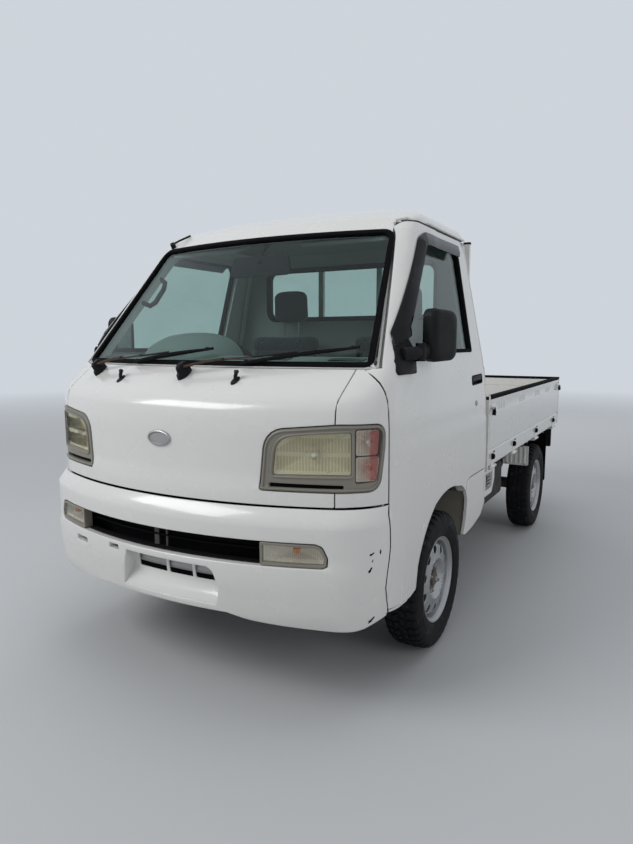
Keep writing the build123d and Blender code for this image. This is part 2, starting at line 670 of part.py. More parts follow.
def make_bumper():
    """The front bumper, with its grille, its lamps and the opening over the number plate."""
    ahead = block(-OUTSIDE, OUTSIDE, -OUTSIDE, BUMPER_REAR, 300, 700)
    shell = (bumper_form() - bumper_form(BUMPER_WALL, foot=20.0)) & ahead
    lamp = front_prism(from_side(TURN_LAMP_OUTLINE), -OUTSIDE, LAMP_SPACE_REAR)
    slot = block(-GRILLE_HALF, GRILLE_HALF, -OUTSIDE, LAMP_SPACE_REAR, GRILLE_LOW, GRILLE_HIGH)
    plate = block(*PLATE_SLOT_X, -OUTSIDE, LAMP_SPACE_REAR, *PLATE_SLOT_Z)
    bumper = shell - lamp - other_side(lamp) - slot - plate
    # Brackets from the ends of the frame to the inner face
    for side in (1, -1):
        bracket = block(side * (RAIL_INNER + 5), side * (RAIL_OUTER - 5), -790, FRAME_FRONT,
                        FRAME_LOW + 40, FRAME_TOP - 8)
        bumper = bumper + (bracket & bumper_form(BUMPER_WALL / 2, foot=40.0))
    write("front_bumper", largest(bumper))
    write("turn_lamps", *both_sides(largest(shell & lamp)))

    band = bumper_form(BUMPER_WALL - GRILLE_THICKNESS) - bumper_form(BUMPER_WALL)
    grille = band & block(-GRILLE_HALF + FIT_GAP, GRILLE_HALF - FIT_GAP, -OUTSIDE, LAMP_SPACE_REAR,
                          GRILLE_LOW + FIT_GAP, GRILLE_HIGH - FIT_GAP)
    columns = int(GRILLE_HALF / GRILLE_PITCH)
    for column in range(-columns, columns + 1):
        x = column * GRILLE_PITCH
        for z in GRILLE_ROWS_Z:
            grille = grille - block(x - GRILLE_HOLE_X / 2, x + GRILLE_HOLE_X / 2, -OUTSIDE, LAMP_SPACE_REAR,
                                    z, z + GRILLE_HOLE_Z)
    write("front_grille", grille)


def make_frame():
    """The ladder frame: two rails, raised under the bed, and the cross members between them."""
    frame = Part()
    for side in (1, -1):
        rail = (side * RAIL_INNER, side * RAIL_OUTER)
        frame = frame + block(*rail, FRAME_FRONT, FRAME_REAR, FRAME_LOW, FRAME_TOP)
        frame = frame + block(*rail, BED_FRONT, RAISED_REAR, FRAME_LOW, BED_SILL_LOW)
    for y in CROSSMEMBERS_Y:
        frame = frame + block(-RAIL_INNER, RAIL_INNER, y - CROSSMEMBER_WIDTH / 2, y + CROSSMEMBER_WIDTH / 2,
                              CROSSMEMBER_LOW, CROSSMEMBER_TOP)
    write("chassis_frame", frame)


def make_floor():
    """The cab's floor: foot well, riser, seat deck and the inner walls of the wheel arches."""
    riser_front = FOOT_WELL_REAR - RISER_THICKNESS
    floor = block(-OUTSIDE, OUTSIDE, FOOT_WELL_FRONT, FOOT_WELL_REAR, FRAME_TOP,
                  FRAME_TOP + FOOT_FLOOR_THICKNESS)
    floor = floor + block(-OUTSIDE, OUTSIDE, riser_front, FOOT_WELL_REAR, FRAME_TOP, DECK_TOP)
    floor = floor + block(-OUTSIDE, OUTSIDE, riser_front, FLOOR_REAR, DECK_LOW, DECK_TOP)
    floor = floor & cab_form(WALL + PANEL_GAP)
    for side in (1, -1):
        floor = floor + block(side * WHEELHOUSE_X, side * (WHEELHOUSE_X - WHEELHOUSE_WALL), FOOT_WELL_REAR,
                              FLOOR_REAR, FRAME_TOP, DECK_LOW)
    write("cab_floor", floor)


def make_seats():
    """Two seats, each a cushion, a backrest and a head restraint on posts, joined by their frame."""
    seats = []
    for x in (SEAT_X, -SEAT_X):
        seat = Part()
        for profile, half in zip((CUSHION_PROFILE, BACKREST_PROFILE, HEADREST_PROFILE), SEAT_HALVES):
            seat = seat + side_prism(profile, x - half, x + half)
        for post_x in (x - SEAT_POST_X, x + SEAT_POST_X):
            seat = seat + rod_z(*SEAT_POST_Z, post_x, SEAT_POST_Y, SEAT_POST_RADIUS)
        seats.extend(seat.solids())
    write("seats", *seats)


def make_controls():
    """The dashboard, and the steering wheel on its column, tilted back towards the driver."""
    write("dashboard", side_prism(DASH_PROFILE, -DASH_HALF, DASH_HALF) & cab_form(WALL + PANEL_GAP))
    place = Pos(*STEERING_CENTRE) * Rot(-STEERING_TILT, 0, 0)
    ring_radius = STEERING_RADIUS - STEERING_TUBE
    wheel = Torus(ring_radius, STEERING_TUBE)
    wheel = wheel + Pos(0, 0, -STEERING_HUB_DEPTH) * Cylinder(STEERING_HUB_RADIUS, STEERING_HUB_LENGTH)
    for angle in SPOKE_ANGLES:
        spoke = Pos(ring_radius / 2, 0, -SPOKE_DEPTH) * Box(ring_radius, SPOKE_WIDTH, SPOKE_THICKNESS)
        wheel = wheel + Rot(0, 0, angle) * spoke
    write("steering_wheel", place * wheel)
    top = -STEERING_HUB_DEPTH - STEERING_HUB_LENGTH / 2 - FIT_GAP
    column = Pos(0, 0, top - COLUMN_LENGTH / 2) * Cylinder(COLUMN_RADIUS, COLUMN_LENGTH)
    cover = Pos(0, 0, top - COLUMN_COVER_LENGTH / 2) * Cylinder(COLUMN_COVER_RADIUS, COLUMN_COVER_LENGTH)
    below_floor = block(-OUTSIDE, OUTSIDE, -OUTSIDE, 0, 0, FRAME_TOP + FOOT_FLOOR_THICKNESS)
    write("steering_column", largest(place * (column + cover) - below_floor))


def lug_centres(middle):
    """The middles of the two lugs beside a gate's hinge."""
    step = HINGE_LENGTH / 2 + HINGE_SIDE_GAP + HINGE_LUG / 2
    return (middle - step, middle + step)


def make_bed():
    """The bed's deck with its skirts and hinge lugs, and the sills that carry it."""
    deck = block(-BED_HALF, BED_HALF, BED_FRONT, BED_REAR, BED_TOP - BED_DECK, BED_TOP)
    lug_low = HINGE_Z - HINGE_RADIUS
    for side in (1, -1):
        deck = deck + block(side * BED_HALF, side * (BED_HALF - BED_SKIRT), BED_FRONT, BED_REAR,
                            BED_SKIRT_LOW, BED_TOP)
        for centre in [centre for y in GATE_HINGES_Y for centre in lug_centres(y)]:
            ends = (centre - HINGE_LUG / 2, centre + HINGE_LUG / 2)
            deck = deck + rod_y(*ends, side * HINGE_X, HINGE_Z, HINGE_RADIUS)
            deck = deck + block(side * (BED_HALF - 5), side * HINGE_X, *ends, lug_low, HINGE_Z)
    for centre in [centre for x in TAIL_HINGES_X for centre in lug_centres(x)]:
        ends = (centre - HINGE_LUG / 2, centre + HINGE_LUG / 2)
        deck = deck + rod_x(*ends, TAIL_HINGE_Y, HINGE_Z, HINGE_RADIUS)
        deck = deck + block(*ends, BED_REAR - BED_SKIRT, TAIL_HINGE_Y, lug_low, HINGE_Z)
        deck = deck + block(*ends, BED_REAR - BED_SKIRT, BED_REAR, lug_low, BED_TOP)
    write("bed_floor", deck)
    sill_half = BED_HALF - BED_SKIRT - PANEL_GAP
    write("bed_sills", *[block(-sill_half, sill_half, y - BED_SILL_WIDTH / 2, y + BED_SILL_WIDTH / 2,
                               BED_SILL_LOW, BED_TOP - BED_DECK) for y in BED_SILLS_Y])


def make_gates():
    """Side gates and tail gate, with the hinge barrels below their lower edges."""
    leaf_top = GATE_LOW + 10
    gate = block(GATE_OUTER - GATE_THICKNESS, GATE_OUTER, GATE_FRONT, GATE_REAR, GATE_LOW, GATE_TOP)
    for y in GATE_HINGES_Y:
        ends = (y - HINGE_LENGTH / 2, y + HINGE_LENGTH / 2)
        gate = gate + rod_y(*ends, HINGE_X, HINGE_Z, HINGE_RADIUS)
        gate = gate + block(GATE_OUTER - HINGE_LEAF, HINGE_X, *ends, HINGE_Z, leaf_top)
    write_pair("side_gate", gate)
    tail_outer = TAIL_GATE_INNER + GATE_THICKNESS
    tail = block(-GATE_OUTER, GATE_OUTER, TAIL_GATE_INNER, tail_outer, GATE_LOW, GATE_TOP)
    for x in TAIL_HINGES_X:
        ends = (x - HINGE_LENGTH / 2, x + HINGE_LENGTH / 2)
        tail = tail + rod_x(*ends, TAIL_HINGE_Y, HINGE_Z, HINGE_RADIUS)
        tail = tail + block(*ends, tail_outer - HINGE_LEAF, TAIL_HINGE_Y, HINGE_Z, leaf_top)
    write("tail_gate", tail)


def make_guard():
    """The headboard with posts and cross tubes that guard the rear window."""
    depth = (GUARD_MIDDLE - GUARD_TUBE_DEPTH / 2, GUARD_MIDDLE + GUARD_TUBE_DEPTH / 2)
    guard = block(-GATE_OUTER, GATE_OUTER, GUARD_FRONT, GUARD_REAR, BED_SKIRT_LOW, GATE_TOP)
    for side in (1, -1):
        for post_x in GUARD_POSTS_X:
            x = side * post_x
            guard = guard + block(x - GUARD_TUBE / 2, x + GUARD_TUBE / 2, *depth, GATE_TOP - 50, GUARD_TOP)
        guard = guard + block(side * RAIL_INNER, side * RAIL_OUTER, GUARD_FRONT, GUARD_REAR,
                              FRAME_TOP, BED_SKIRT_LOW)
    half = GUARD_POSTS_X[-1] + GUARD_TUBE / 2
    for low in (GUARD_LOW_TUBE, GUARD_TOP - GUARD_TUBE):
        guard = guard + block(-half, half, *depth, low, low + GUARD_TUBE)
    write("guard_frame", guard)


def turned(profile):
    """A solid turned about x from (radius, x) points."""
    outline = Plane.XZ * make_face(Polyline(*profile, close=True))
    return Rot(0, 90, 0) * revolve(outline, axis=Axis.Z)


def make_wheels():
    """Tyres and rims, each turned about its axle."""
    half = TYRE_WIDTH / 2
    bulge_radius = (RIM_FLANGE_RADIUS + TYRE_RADIUS) / 2 - 12
    tyre_side = [
        (BEAD_RADIUS, BEAD_HALF), (RIM_FLANGE_RADIUS + 2, BEAD_HALF), (RIM_FLANGE_RADIUS + 6, RIM_HALF_WIDTH),
        (bulge_radius, half), (TYRE_RADIUS - 2 * SHOULDER_DROP, half - 3),
        (TYRE_RADIUS - SHOULDER_DROP, TREAD_HALF + 4), (TYRE_RADIUS, TREAD_HALF - 6),
    ]
    tyre = turned(tyre_side + [(radius, -across) for radius, across in reversed(tyre_side)])
    inner = BEAD_RADIUS - FIT_GAP - RIM_THICKNESS
    bore = SPINDLE_RADIUS + PIN_GAP
    rim_side = [
        (inner, RIM_HALF_WIDTH), (RIM_FLANGE_RADIUS, RIM_HALF_WIDTH),
        (RIM_FLANGE_RADIUS, RIM_HALF_WIDTH - RIM_THICKNESS + 1),
        (inner + RIM_THICKNESS, RIM_HALF_WIDTH - RIM_THICKNESS),
    ]
    disc = [(inner, DISC_OFFSET), (bore, DISC_OFFSET), (bore, DISC_OFFSET + DISC_THICKNESS),
            (inner, DISC_OFFSET + DISC_THICKNESS)]
    rim = turned(rim_side + [(radius, -across) for radius, across in reversed(rim_side)] + disc)
    for name, y in (("front", 0.0), ("rear", WHEELBASE)):
        place = Pos(WHEEL_X, y, AXLE_Z)
        write_pair(name + "_tyre", place * tyre)
        write_pair(name + "_rim", place * rim)


def brake_and_spindle(y, inner):
    """A brake drum with the spindle that carries the left wheel."""
    drum_end = WHEEL_X + DISC_OFFSET - DRUM_GAP
    drum = rod_x(WHEEL_X - inner, drum_end, y, AXLE_Z, DRUM_RADIUS)
    spindle_end = WHEEL_X + DISC_OFFSET + DISC_THICKNESS + SPINDLE_PROUD
    return drum + rod_x(drum_end, spindle_end, y, AXLE_Z, SPINDLE_RADIUS)


def kingpin_point(height):
    """The point on the left steering axis at a height."""
    share = (height - KINGPIN_LOW[1]) / (KINGPIN_HIGH[1] - KINGPIN_LOW[1])
    return (KINGPIN_LOW[0] + share * (KINGPIN_HIGH[0] - KINGPIN_LOW[0]), 0, height)


def make_front_suspension():
    """Knuckles that carry the front wheels, struts, lower arms, and the bridge with the rack."""
    knuckle = rod_between(kingpin_point(KNUCKLE_LOW), kingpin_point(KNUCKLE_HIGH), KNUCKLE_RADIUS)
    knuckle = knuckle + rod_x(KNUCKLE_HUB_X, WHEEL_X - FRONT_DRUM_INNER, 0, AXLE_Z, KNUCKLE_HUB_RADIUS)
    knuckle = knuckle + brake_and_spindle(0, FRONT_DRUM_INNER)
    knuckle = knuckle + block(*STEERING_ARM_X, 0, STEERING_ARM_REACH, *STEERING_ARM_Z)
    write_pair("knuckle", knuckle)

    strut = rod_between(kingpin_point(STRUT_LOW), kingpin_point(STRUT_TOP), STRUT_RADIUS)
    strut = strut + rod_z(STRUT_PLATE_LOW, DECK_LOW, KINGPIN_HIGH[0], 0, STRUT_PLATE_RADIUS)
    arm = front_prism(ARM_OUTLINE, -ARM_HALF, ARM_HALF)
    bridge = block(-RAIL_OUTER, RAIL_OUTER, *BRIDGE_Y, BRIDGE_LOW, FRAME_LOW)
    rack = rod_x(-RACK_HALF, RACK_HALF, RACK_Y, RACK_Z, RACK_RADIUS)
    half_x, half_z = RACK_BRACKET_HALF
    rack = rack + block(-half_x, half_x, RACK_Y, BRIDGE_Y[0], RACK_Z - half_z, RACK_Z + half_z)
    write("front_suspension", *both_sides(strut), *both_sides(arm), bridge + rack)


def make_rear_axle():
    """The rear axle with its drums, and a leaf spring under each rail."""
    tube_end = WHEEL_X - REAR_DRUM_INNER
    axle = rod_x(-tube_end, tube_end, WHEELBASE, AXLE_Z, AXLE_TUBE_RADIUS)
    axle = axle + Pos(0, WHEELBASE, AXLE_Z) * Sphere(DIFFERENTIAL_RADIUS)
    axle = axle + rod_y(WHEELBASE - PINION_REACH, WHEELBASE, 0, AXLE_Z, PINION_RADIUS)
    pad = block(*SPRING_X, WHEELBASE - SPRING_PAD_HALF, WHEELBASE + SPRING_PAD_HALF, SPRING_SEAT_Z, AXLE_Z)
    for piece in (brake_and_spindle(WHEELBASE, REAR_DRUM_INNER), pad):
        axle = axle + piece + other_side(piece)
    write("rear_axle", axle)

    front = WHEELBASE - SPRING_REACH
    rear = WHEELBASE + SPRING_REACH
    low = SPRING_SEAT_Z - SEAT_GAP
    high = low + SPRING_RISE
    thick = SPRING_THICKNESS
    bow = make_face(Curve() + [
        ThreePointArc((front, high), (WHEELBASE, low), (rear, high)),
        Line((rear, high), (rear, high - thick)),
        ThreePointArc((rear, high - thick), (WHEELBASE, low - thick), (front, high - thick)),
        Line((front, high - thick), (front, high)),
    ])
    spring = extrude(side_plane(SPRING_X[0]) * bow, amount=SPRING_X[1] - SPRING_X[0])
    for hanger in (front, rear - SPRING_HANGER):
        spring = spring + block(*SPRING_X, hanger, hanger + SPRING_HANGER, high - thick, FRAME_LOW)
    write("leaf_springs", *both_sides(spring))


def make_drive_line():
    """Engine and gearbox as one plain block, the propeller shaft, the fuel tank and the exhaust."""
    engine = Part()
    for half, front, rear, low, high in ENGINE_BLOCKS:
        engine = engine + block(-half, half, front, rear, low, high)
    engine = engine + rod_y(OUTPUT_FRONT, SHAFT_FRONT, 0, OUTPUT_Z, OUTPUT_RADIUS)
    reach = CROSSMEMBER_WIDTH / 2 + CROSSMEMBER_CLEARANCE
    crossmember = block(-RAIL_INNER, RAIL_INNER, CROSSMEMBERS_Y[1] - reach, CROSSMEMBERS_Y[1] + reach,
                        CROSSMEMBER_LOW - CROSSMEMBER_CLEARANCE, CROSSMEMBER_TOP + CROSSMEMBER_CLEARANCE)
    write("engine_block", engine - crossmember)
    write("propeller_shaft", rod_y(SHAFT_FRONT + SEAT_GAP, WHEELBASE - PINION_REACH - SEAT_GAP, 0, SHAFT_Z,
                                   SHAFT_RADIUS))
    tank = block(*TANK_X, *TANK_Y, *TANK_Z)
    write("fuel_tank", fillet(tank.edges().filter_by(Axis.Y), TANK_FILLET))
    muffler_x = EXHAUST_RODS[0][2]
    exhaust = block(-RAIL_INNER, muffler_x, *EXHAUST_HANGER_Y, *EXHAUST_HANGER_Z)
    for front, rear, x, z, radius in EXHAUST_RODS:
        exhaust = exhaust + rod_y(front, rear, x, z, radius)
    write("muffler", exhaust)


def make_rear_fittings():
    """Screens round the rear wheels, side covers, tail lamps and the rear bar with its tow eye."""
    screens = []
    for x0, x1, y0, low in WHEEL_SCREENS:
        screens.extend(both_sides(block(x0, x1, y0, y0 + SCREEN_THICKNESS, low, BED_SILL_LOW)))
    write("mudguards", *screens)
    write("side_covers", *both_sides(side_prism(COVER_OUTLINE, BED_HALF, BED_HALF + COVER_THICKNESS)))
    lamp = block(*TAIL_LAMP_X, *TAIL_LAMP_Y, *TAIL_LAMP_Z)
    lamp = lamp + block(*TAIL_LAMP_BRACKET_X, FRAME_REAR, TAIL_LAMP_Y[0], TAIL_LAMP_BRACKET_LOW, BED_SILL_LOW)
    write("tail_lamps", *both_sides(lamp))

    bar = block(-BAR_HALF, BAR_HALF, FRAME_REAR, FRAME_REAR + BAR_DEPTH, *BAR_Z)
    bar = bar + block(-EYE_HALF, EYE_HALF, *EYE_Y, *EYE_Z)
    bar = bar - rod_x(-BAR_HALF, BAR_HALF, *EYE_CENTRE, EYE_BORE)
    for x in (-PLATE_HOLE_X, PLATE_HOLE_X):
        bar = bar - rod_y(FRAME_REAR - 5, FRAME_REAR + BAR_DEPTH + 5, x, PLATE_HOLE_Z, PLATE_HOLE_RADIUS)
    write("rear_bumper", bar)


def make_outside():
    """Wipers and door mirrors, seated on the cab's surface."""
    cab = cab_form()
    arms = []
    for pivot_x, pivot_z, tip_x, tip_z in WIPERS:
        pivot = (pivot_x, front_y(pivot_x, pivot_z) - WIPER_PROUD, pivot_z)
        tip = (tip_x, front_y(tip_x, tip_z) - WIPER_PROUD, tip_z)
        foot = (pivot_x, pivot[1] + WIPER_STUB, pivot_z - WIPER_STUB)
        arm = rod_between(pivot, tip, WIPER_RADIUS) + rod_between(foot, pivot, WIPER_STUB_RADIUS)
        arms.append(largest(arm - cab))
    write("wipers", *arms)
    head = Box(MIRROR_THICK, MIRROR_LONG, MIRROR_HIGH)
    head = fillet(head.edges().filter_by(Axis.X), MIRROR_FILLET)
    head = Pos(*MIRROR_CENTRE) * Rot(0, 0, -MIRROR_TURN) * head
    stalk = rod_between(*MIRROR_STALK, MIRROR_STALK_RADIUS)
    foot = side_prism(MIRROR_FOOT, *MIRROR_FOOT_X)
    write_pair("mirror", largest((head + stalk + foot) - cab))


def main():
    os.makedirs("parts", exist_ok=True)
    make_cab()
    make_bumper()
    make_frame()
    make_floor()
    make_seats()
    make_controls()
    make_bed()
    make_gates()
    make_guard()
    make_wheels()
    make_front_suspension()
    make_rear_axle()
    make_drive_line()
    make_rear_fittings()
    make_outside()


main()
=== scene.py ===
import json
from math import acos, asin, atan2, ceil, copysign, cos, exp, hypot, pi, radians, sin, sqrt, tan
import bpy
import numpy as np
from mathutils import Euler, Matrix, Vector
from mathutils.geometry import delaunay_2d_cdt

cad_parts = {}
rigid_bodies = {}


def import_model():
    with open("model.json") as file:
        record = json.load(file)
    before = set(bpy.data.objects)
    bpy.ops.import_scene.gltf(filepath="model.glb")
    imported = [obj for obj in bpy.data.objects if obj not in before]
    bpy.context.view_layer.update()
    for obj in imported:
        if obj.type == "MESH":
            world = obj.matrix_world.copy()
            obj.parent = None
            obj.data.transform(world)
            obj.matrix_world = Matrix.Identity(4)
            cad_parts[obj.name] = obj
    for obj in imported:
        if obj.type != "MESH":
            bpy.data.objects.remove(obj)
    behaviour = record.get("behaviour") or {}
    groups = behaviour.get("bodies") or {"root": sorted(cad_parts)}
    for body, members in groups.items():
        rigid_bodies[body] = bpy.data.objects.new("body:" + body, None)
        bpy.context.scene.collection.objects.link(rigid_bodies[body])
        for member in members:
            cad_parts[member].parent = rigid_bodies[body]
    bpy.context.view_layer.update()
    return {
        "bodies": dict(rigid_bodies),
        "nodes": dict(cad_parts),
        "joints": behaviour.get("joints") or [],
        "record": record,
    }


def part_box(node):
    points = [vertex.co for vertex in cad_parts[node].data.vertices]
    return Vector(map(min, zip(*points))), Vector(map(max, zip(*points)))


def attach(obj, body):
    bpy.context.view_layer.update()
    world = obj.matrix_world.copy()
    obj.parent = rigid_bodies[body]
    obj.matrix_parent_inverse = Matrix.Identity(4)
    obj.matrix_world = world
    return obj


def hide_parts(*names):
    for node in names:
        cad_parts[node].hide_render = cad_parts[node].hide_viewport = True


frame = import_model()

# The looks of a small cab-over pickup truck, in metres. The front faces -Y and the vehicle's left is +X.
# Pieces are drawn with y measured back from the front axle, and make() moves them into the frame.
TYRE_LOW, TYRE_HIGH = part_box("left_front_tyre")
AXLE_Y = (TYRE_LOW.y + TYRE_HIGH.y) / 2
AXLE_Z = (TYRE_LOW.z + TYRE_HIGH.z) / 2
WHEEL_X = (TYRE_LOW.x + TYRE_HIGH.x) / 2
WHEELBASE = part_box("left_rear_tyre")[0].y - TYRE_LOW.y
SIDES = ((1, "left"), (-1, "right"))


# Cab form: horizontal sections with a bowed front, tangent corners and flat sides
# columns: height, half_width, corner_x, corner_front, front
CAB_SECTIONS = (
    (0.33, 0.722, 0.6, -0.645, -0.77),
    (0.686, 0.727, 0.6, -0.645, -0.77),
    (0.925, 0.722, 0.6, -0.647, -0.768),
    (1.005, 0.716, 0.6, -0.64, -0.757),
    (1.108, 0.707, 0.655, -0.482, -0.585),
    (1.6, 0.607, 0.56, -0.097, -0.18),
    (1.655, 0.597, 0.548, -0.035, -0.115),
)
CAB_REAR = 0.6
CAB_ROUNDING = 0.016
REAR_CORNER = 0.018
BUMPER_SECTIONS = (
    (0.292, 0.712, 0.585, -0.655, -0.766),
    (0.32, 0.719, 0.59, -0.672, -0.784),
    (0.44, 0.733, 0.6, -0.687, -0.806),
    (0.607, 0.737, 0.6, -0.69, -0.812),
    (0.652, 0.735, 0.6, -0.691, -0.813),
    (0.684, 0.727, 0.6, -0.65, -0.78),
)
BUMPER_ROUNDING = 0.01

BELT_SEAM = 1.104
ROOF_EDGE = 1.6385
BUMPER_SEAM = 0.686
WALL = 0.045


# Materials
def linked(tree, kind, inputs=None, **settings):
    """A shader node with its settings made, and its inputs linked or given values."""
    node = tree.nodes.new("ShaderNode" + kind)
    for key, value in settings.items():
        setattr(node, key, value)
    for key, value in (inputs or {}).items():
        if isinstance(value, bpy.types.NodeSocket):
            tree.links.new(value, node.inputs[key])
        else:
            node.inputs[key].default_value = value
    return node


def new_material(name):
    """A material, its node tree and its shader."""
    material = bpy.data.materials.new(name)
    material.use_nodes = True
    return material, material.node_tree, material.node_tree.nodes["Principled BSDF"]


def noise(tree, place, scale, detail=4.0):
    return linked(tree, "TexNoise", {"Vector": place, "Scale": scale, "Detail": detail}).outputs["Fac"]


def ranged(tree, value, low, high, to_low, to_high):
    inputs = {"Value": value, "From Min": low, "From Max": high, "To Min": to_low, "To Max": to_high}
    return linked(tree, "MapRange", inputs).outputs["Result"]


def mixed(tree, factor, first, second):
    node = linked(tree, "Mix", data_type="RGBA")
    for socket, value in ((node.inputs[0], factor), (node.inputs[6], first), (node.inputs[7], second)):
        if isinstance(value, bpy.types.NodeSocket):
            tree.links.new(value, socket)
        else:
            socket.default_value = value
    return node.outputs[2]


def shade(colour, share=1.0):
    return (*[min(1.0, part * share) for part in colour], 1.0)


COAT_ROUGHNESS = 0.08
STAIN_EDGE = 0.12
DUST_FULL_BELOW = 0.2
GLOSS_SPREAD = 0.07
GRAIN_DEPTH = 0.002


def finish_of(name, colour, rough, metal=0.0, coat=0.0, vary=0.05, patches=5.0, grain=300.0, bump=0.05,
              stain=None, dust=None, stretch=(1, 1, 1), sheen=0.0, shine=0.5):
    """A finish with patchy colour and gloss, fine grain, and optional stains and dust low down.

    stain is (colour, scale, threshold, amount); dust is (colour, height where it ends, amount).
    """
    material, tree, shader = new_material(name)
    for socket, value in (("Metallic", metal), ("Coat Weight", coat), ("Coat Roughness", COAT_ROUGHNESS),
                          ("Sheen Weight", sheen), ("Specular IOR Level", shine)):
        shader.inputs[socket].default_value = value
    place = linked(tree, "TexCoord").outputs["Object"]
    patch = noise(tree, place, patches)
    base = mixed(tree, patch, shade(colour, 1 - vary), shade(colour, 1 + vary))
    if stain:
        stain_colour, scale, threshold, amount = stain
        cloud = noise(tree, place, scale, 8.0)
        spots = ranged(tree, cloud, threshold, threshold + STAIN_EDGE, 0.0, amount)
        base = mixed(tree, spots, base, shade(stain_colour))
    if dust:
        dust_colour, height, amount = dust
        level = linked(tree, "SeparateXYZ", {"Vector": place}).outputs["Z"]
        low = ranged(tree, level, DUST_FULL_BELOW, height, amount, 0.0)
        cloud = ranged(tree, noise(tree, place, 9.0, 6.0), 0.0, 1.0, 0.0, 1.2)
        cover = linked(tree, "Math", {0: low, 1: cloud}, operation="MULTIPLY").outputs[0]
        base = mixed(tree, cover, base, shade(dust_colour))
    tree.links.new(base, shader.inputs["Base Color"])
    gloss = ranged(tree, noise(tree, place, patches * 3), 0.3, 0.7, max(0.03, rough - GLOSS_SPREAD),
        rough + GLOSS_SPREAD)
    tree.links.new(gloss, shader.inputs["Roughness"])
    stretched = linked(tree, "Mapping", {"Vector": place, "Scale": stretch}).outputs["Vector"]
    fine = noise(tree, stretched, grain, 2.0)
    relief = linked(tree, "Bump", {"Height": fine, "Strength": bump, "Distance": GRAIN_DEPTH})
    tree.links.new(relief.outputs["Normal"], shader.inputs["Normal"])
    return material


def pane_of(name, tint):
    """Thin glass: a tinted view through it, and more reflection where it's seen at a slant."""
    material, tree, shader = new_material(name)
    tree.nodes.remove(shader)
    place = linked(tree, "TexCoord").outputs["Object"]
    film = noise(tree, place, 3.0)
    colour = mixed(tree, film, shade(tint, 0.94), shade(tint, 1.0))
    through = linked(tree, "BsdfTransparent", {"Color": colour}).outputs[0]
    mirror = linked(tree, "BsdfGlossy", {"Roughness": 0.03}).outputs[0]
    slant = linked(tree, "LayerWeight", {"Blend": 0.5}).outputs["Facing"]
    steep = linked(tree, "Math", {0: slant, 1: 5.0}, operation="POWER").outputs[0]
    share = ranged(tree, steep, 0.0, 1.0, 0.03, 0.8)
    both = linked(tree, "MixShader", {0: share, 1: through, 2: mirror}).outputs[0]
    tree.links.new(both, tree.nodes["Material Output"].inputs["Surface"])
    return material


RUST = (0.16, 0.055, 0.02)
EARTH = (0.3, 0.25, 0.19)
PAINT = finish_of("white_paint", (0.76, 0.755, 0.73), 0.24, coat=0.6, vary=0.015, patches=2.0, grain=900.0,
    bump=0.0, dust=(EARTH, 0.62, 0.16))
PAINT_MATT = finish_of("white_inside", (0.62, 0.62, 0.6), 0.45, vary=0.04, dust=(EARTH, 0.9, 0.2))
BLACK = finish_of("black_plastic", (0.01, 0.01, 0.011), 0.5, vary=0.25, grain=700.0, bump=0.12, shine=0.15)
RUBBER = finish_of("rubber", (0.006, 0.006, 0.007), 0.85, vary=0.2, grain=500.0, bump=0.1, shine=0.06)
# Near black: painted shade on the inner faces of sheets, on the sheets behind openings, in a lamp slot and
# along the bumper's seams, and also the real black of the grille slats and the bumper's paint chips
BLACK_AND_SHADE = finish_of("black_and_painted_shade", (0.006, 0.006, 0.007), 0.8, vary=0.2, shine=0.1)
UNDER = finish_of("frame_black", (0.018, 0.018, 0.018), 0.65, vary=0.2, grain=120.0, bump=0.25,
    stain=((0.07, 0.03, 0.016), 14.0, 0.6, 0.5), dust=(EARTH, 0.7, 0.07), shine=0.3)
CAST = finish_of("cast_dark", (0.09, 0.088, 0.085), 0.62, metal=0.3, vary=0.2, grain=90.0, bump=0.4,
    stain=((0.09, 0.045, 0.028), 18.0, 0.55, 0.6), dust=(EARTH, 0.6, 0.2))
RUSTY = finish_of("rusty_steel", (0.07, 0.036, 0.024), 0.75, metal=0.2, vary=0.35, grain=160.0, bump=0.5,
    stain=((0.03, 0.022, 0.018), 40.0, 0.5, 0.7))
SILVER = finish_of("silver_steel", (0.42, 0.425, 0.43), 0.34, metal=0.75, vary=0.06, grain=300.0, bump=0.06,
    stain=(RUST, 26.0, 0.66, 0.6))
ZINC = finish_of("grey_steel", (0.38, 0.38, 0.37), 0.45, metal=0.5, vary=0.1, stain=(RUST, 20.0, 0.6, 0.4))
TREAD = finish_of("tyre", (0.009, 0.009, 0.01), 0.72, vary=0.25, grain=260.0, bump=0.2,
    stain=(EARTH, 22.0, 0.6, 0.1), shine=0.2)
TRIM = finish_of("grey_trim", (0.17, 0.18, 0.18), 0.55, vary=0.08, grain=420.0, bump=0.2)
LINING = finish_of("pale_lining", (0.4, 0.42, 0.4), 0.8, vary=0.05, grain=260.0, bump=0.25)
BEZEL = finish_of("lamp_bezel", (0.23, 0.215, 0.18), 0.4, vary=0.08, grain=500.0, bump=0.06)
GLASS = pane_of("glass", (0.8, 0.88, 0.86))
SMOKED = pane_of("smoked_plastic", (0.16, 0.14, 0.17))
LENS = pane_of("lamp_lens", (0.985, 0.975, 0.925))
CLEAR = pane_of("clear_lens", (0.99, 0.985, 0.975))
FADED_RED = pane_of("faded_red", (0.95, 0.66, 0.66))
MIRROR = finish_of("mirror", (0.85, 0.85, 0.83), 0.08, metal=1.0, vary=0.03)
BOWL = finish_of("reflector", (0.8, 0.785, 0.7), 0.3, metal=0.25, vary=0.04)
PINK = finish_of("faded_bulb", (0.7, 0.26, 0.18), 0.25, coat=0.5)
AMBER = finish_of("amber_bulb", (0.8, 0.25, 0.03), 0.2, coat=0.5)
RED = finish_of("red_lens", (0.42, 0.012, 0.012), 0.16, coat=0.8, vary=0.06)
PALE_LENS = finish_of("pale_lens", (0.62, 0.61, 0.56), 0.16, coat=0.8)
BULB = finish_of("bulb", (0.7, 0.7, 0.68), 0.1, coat=1.0)
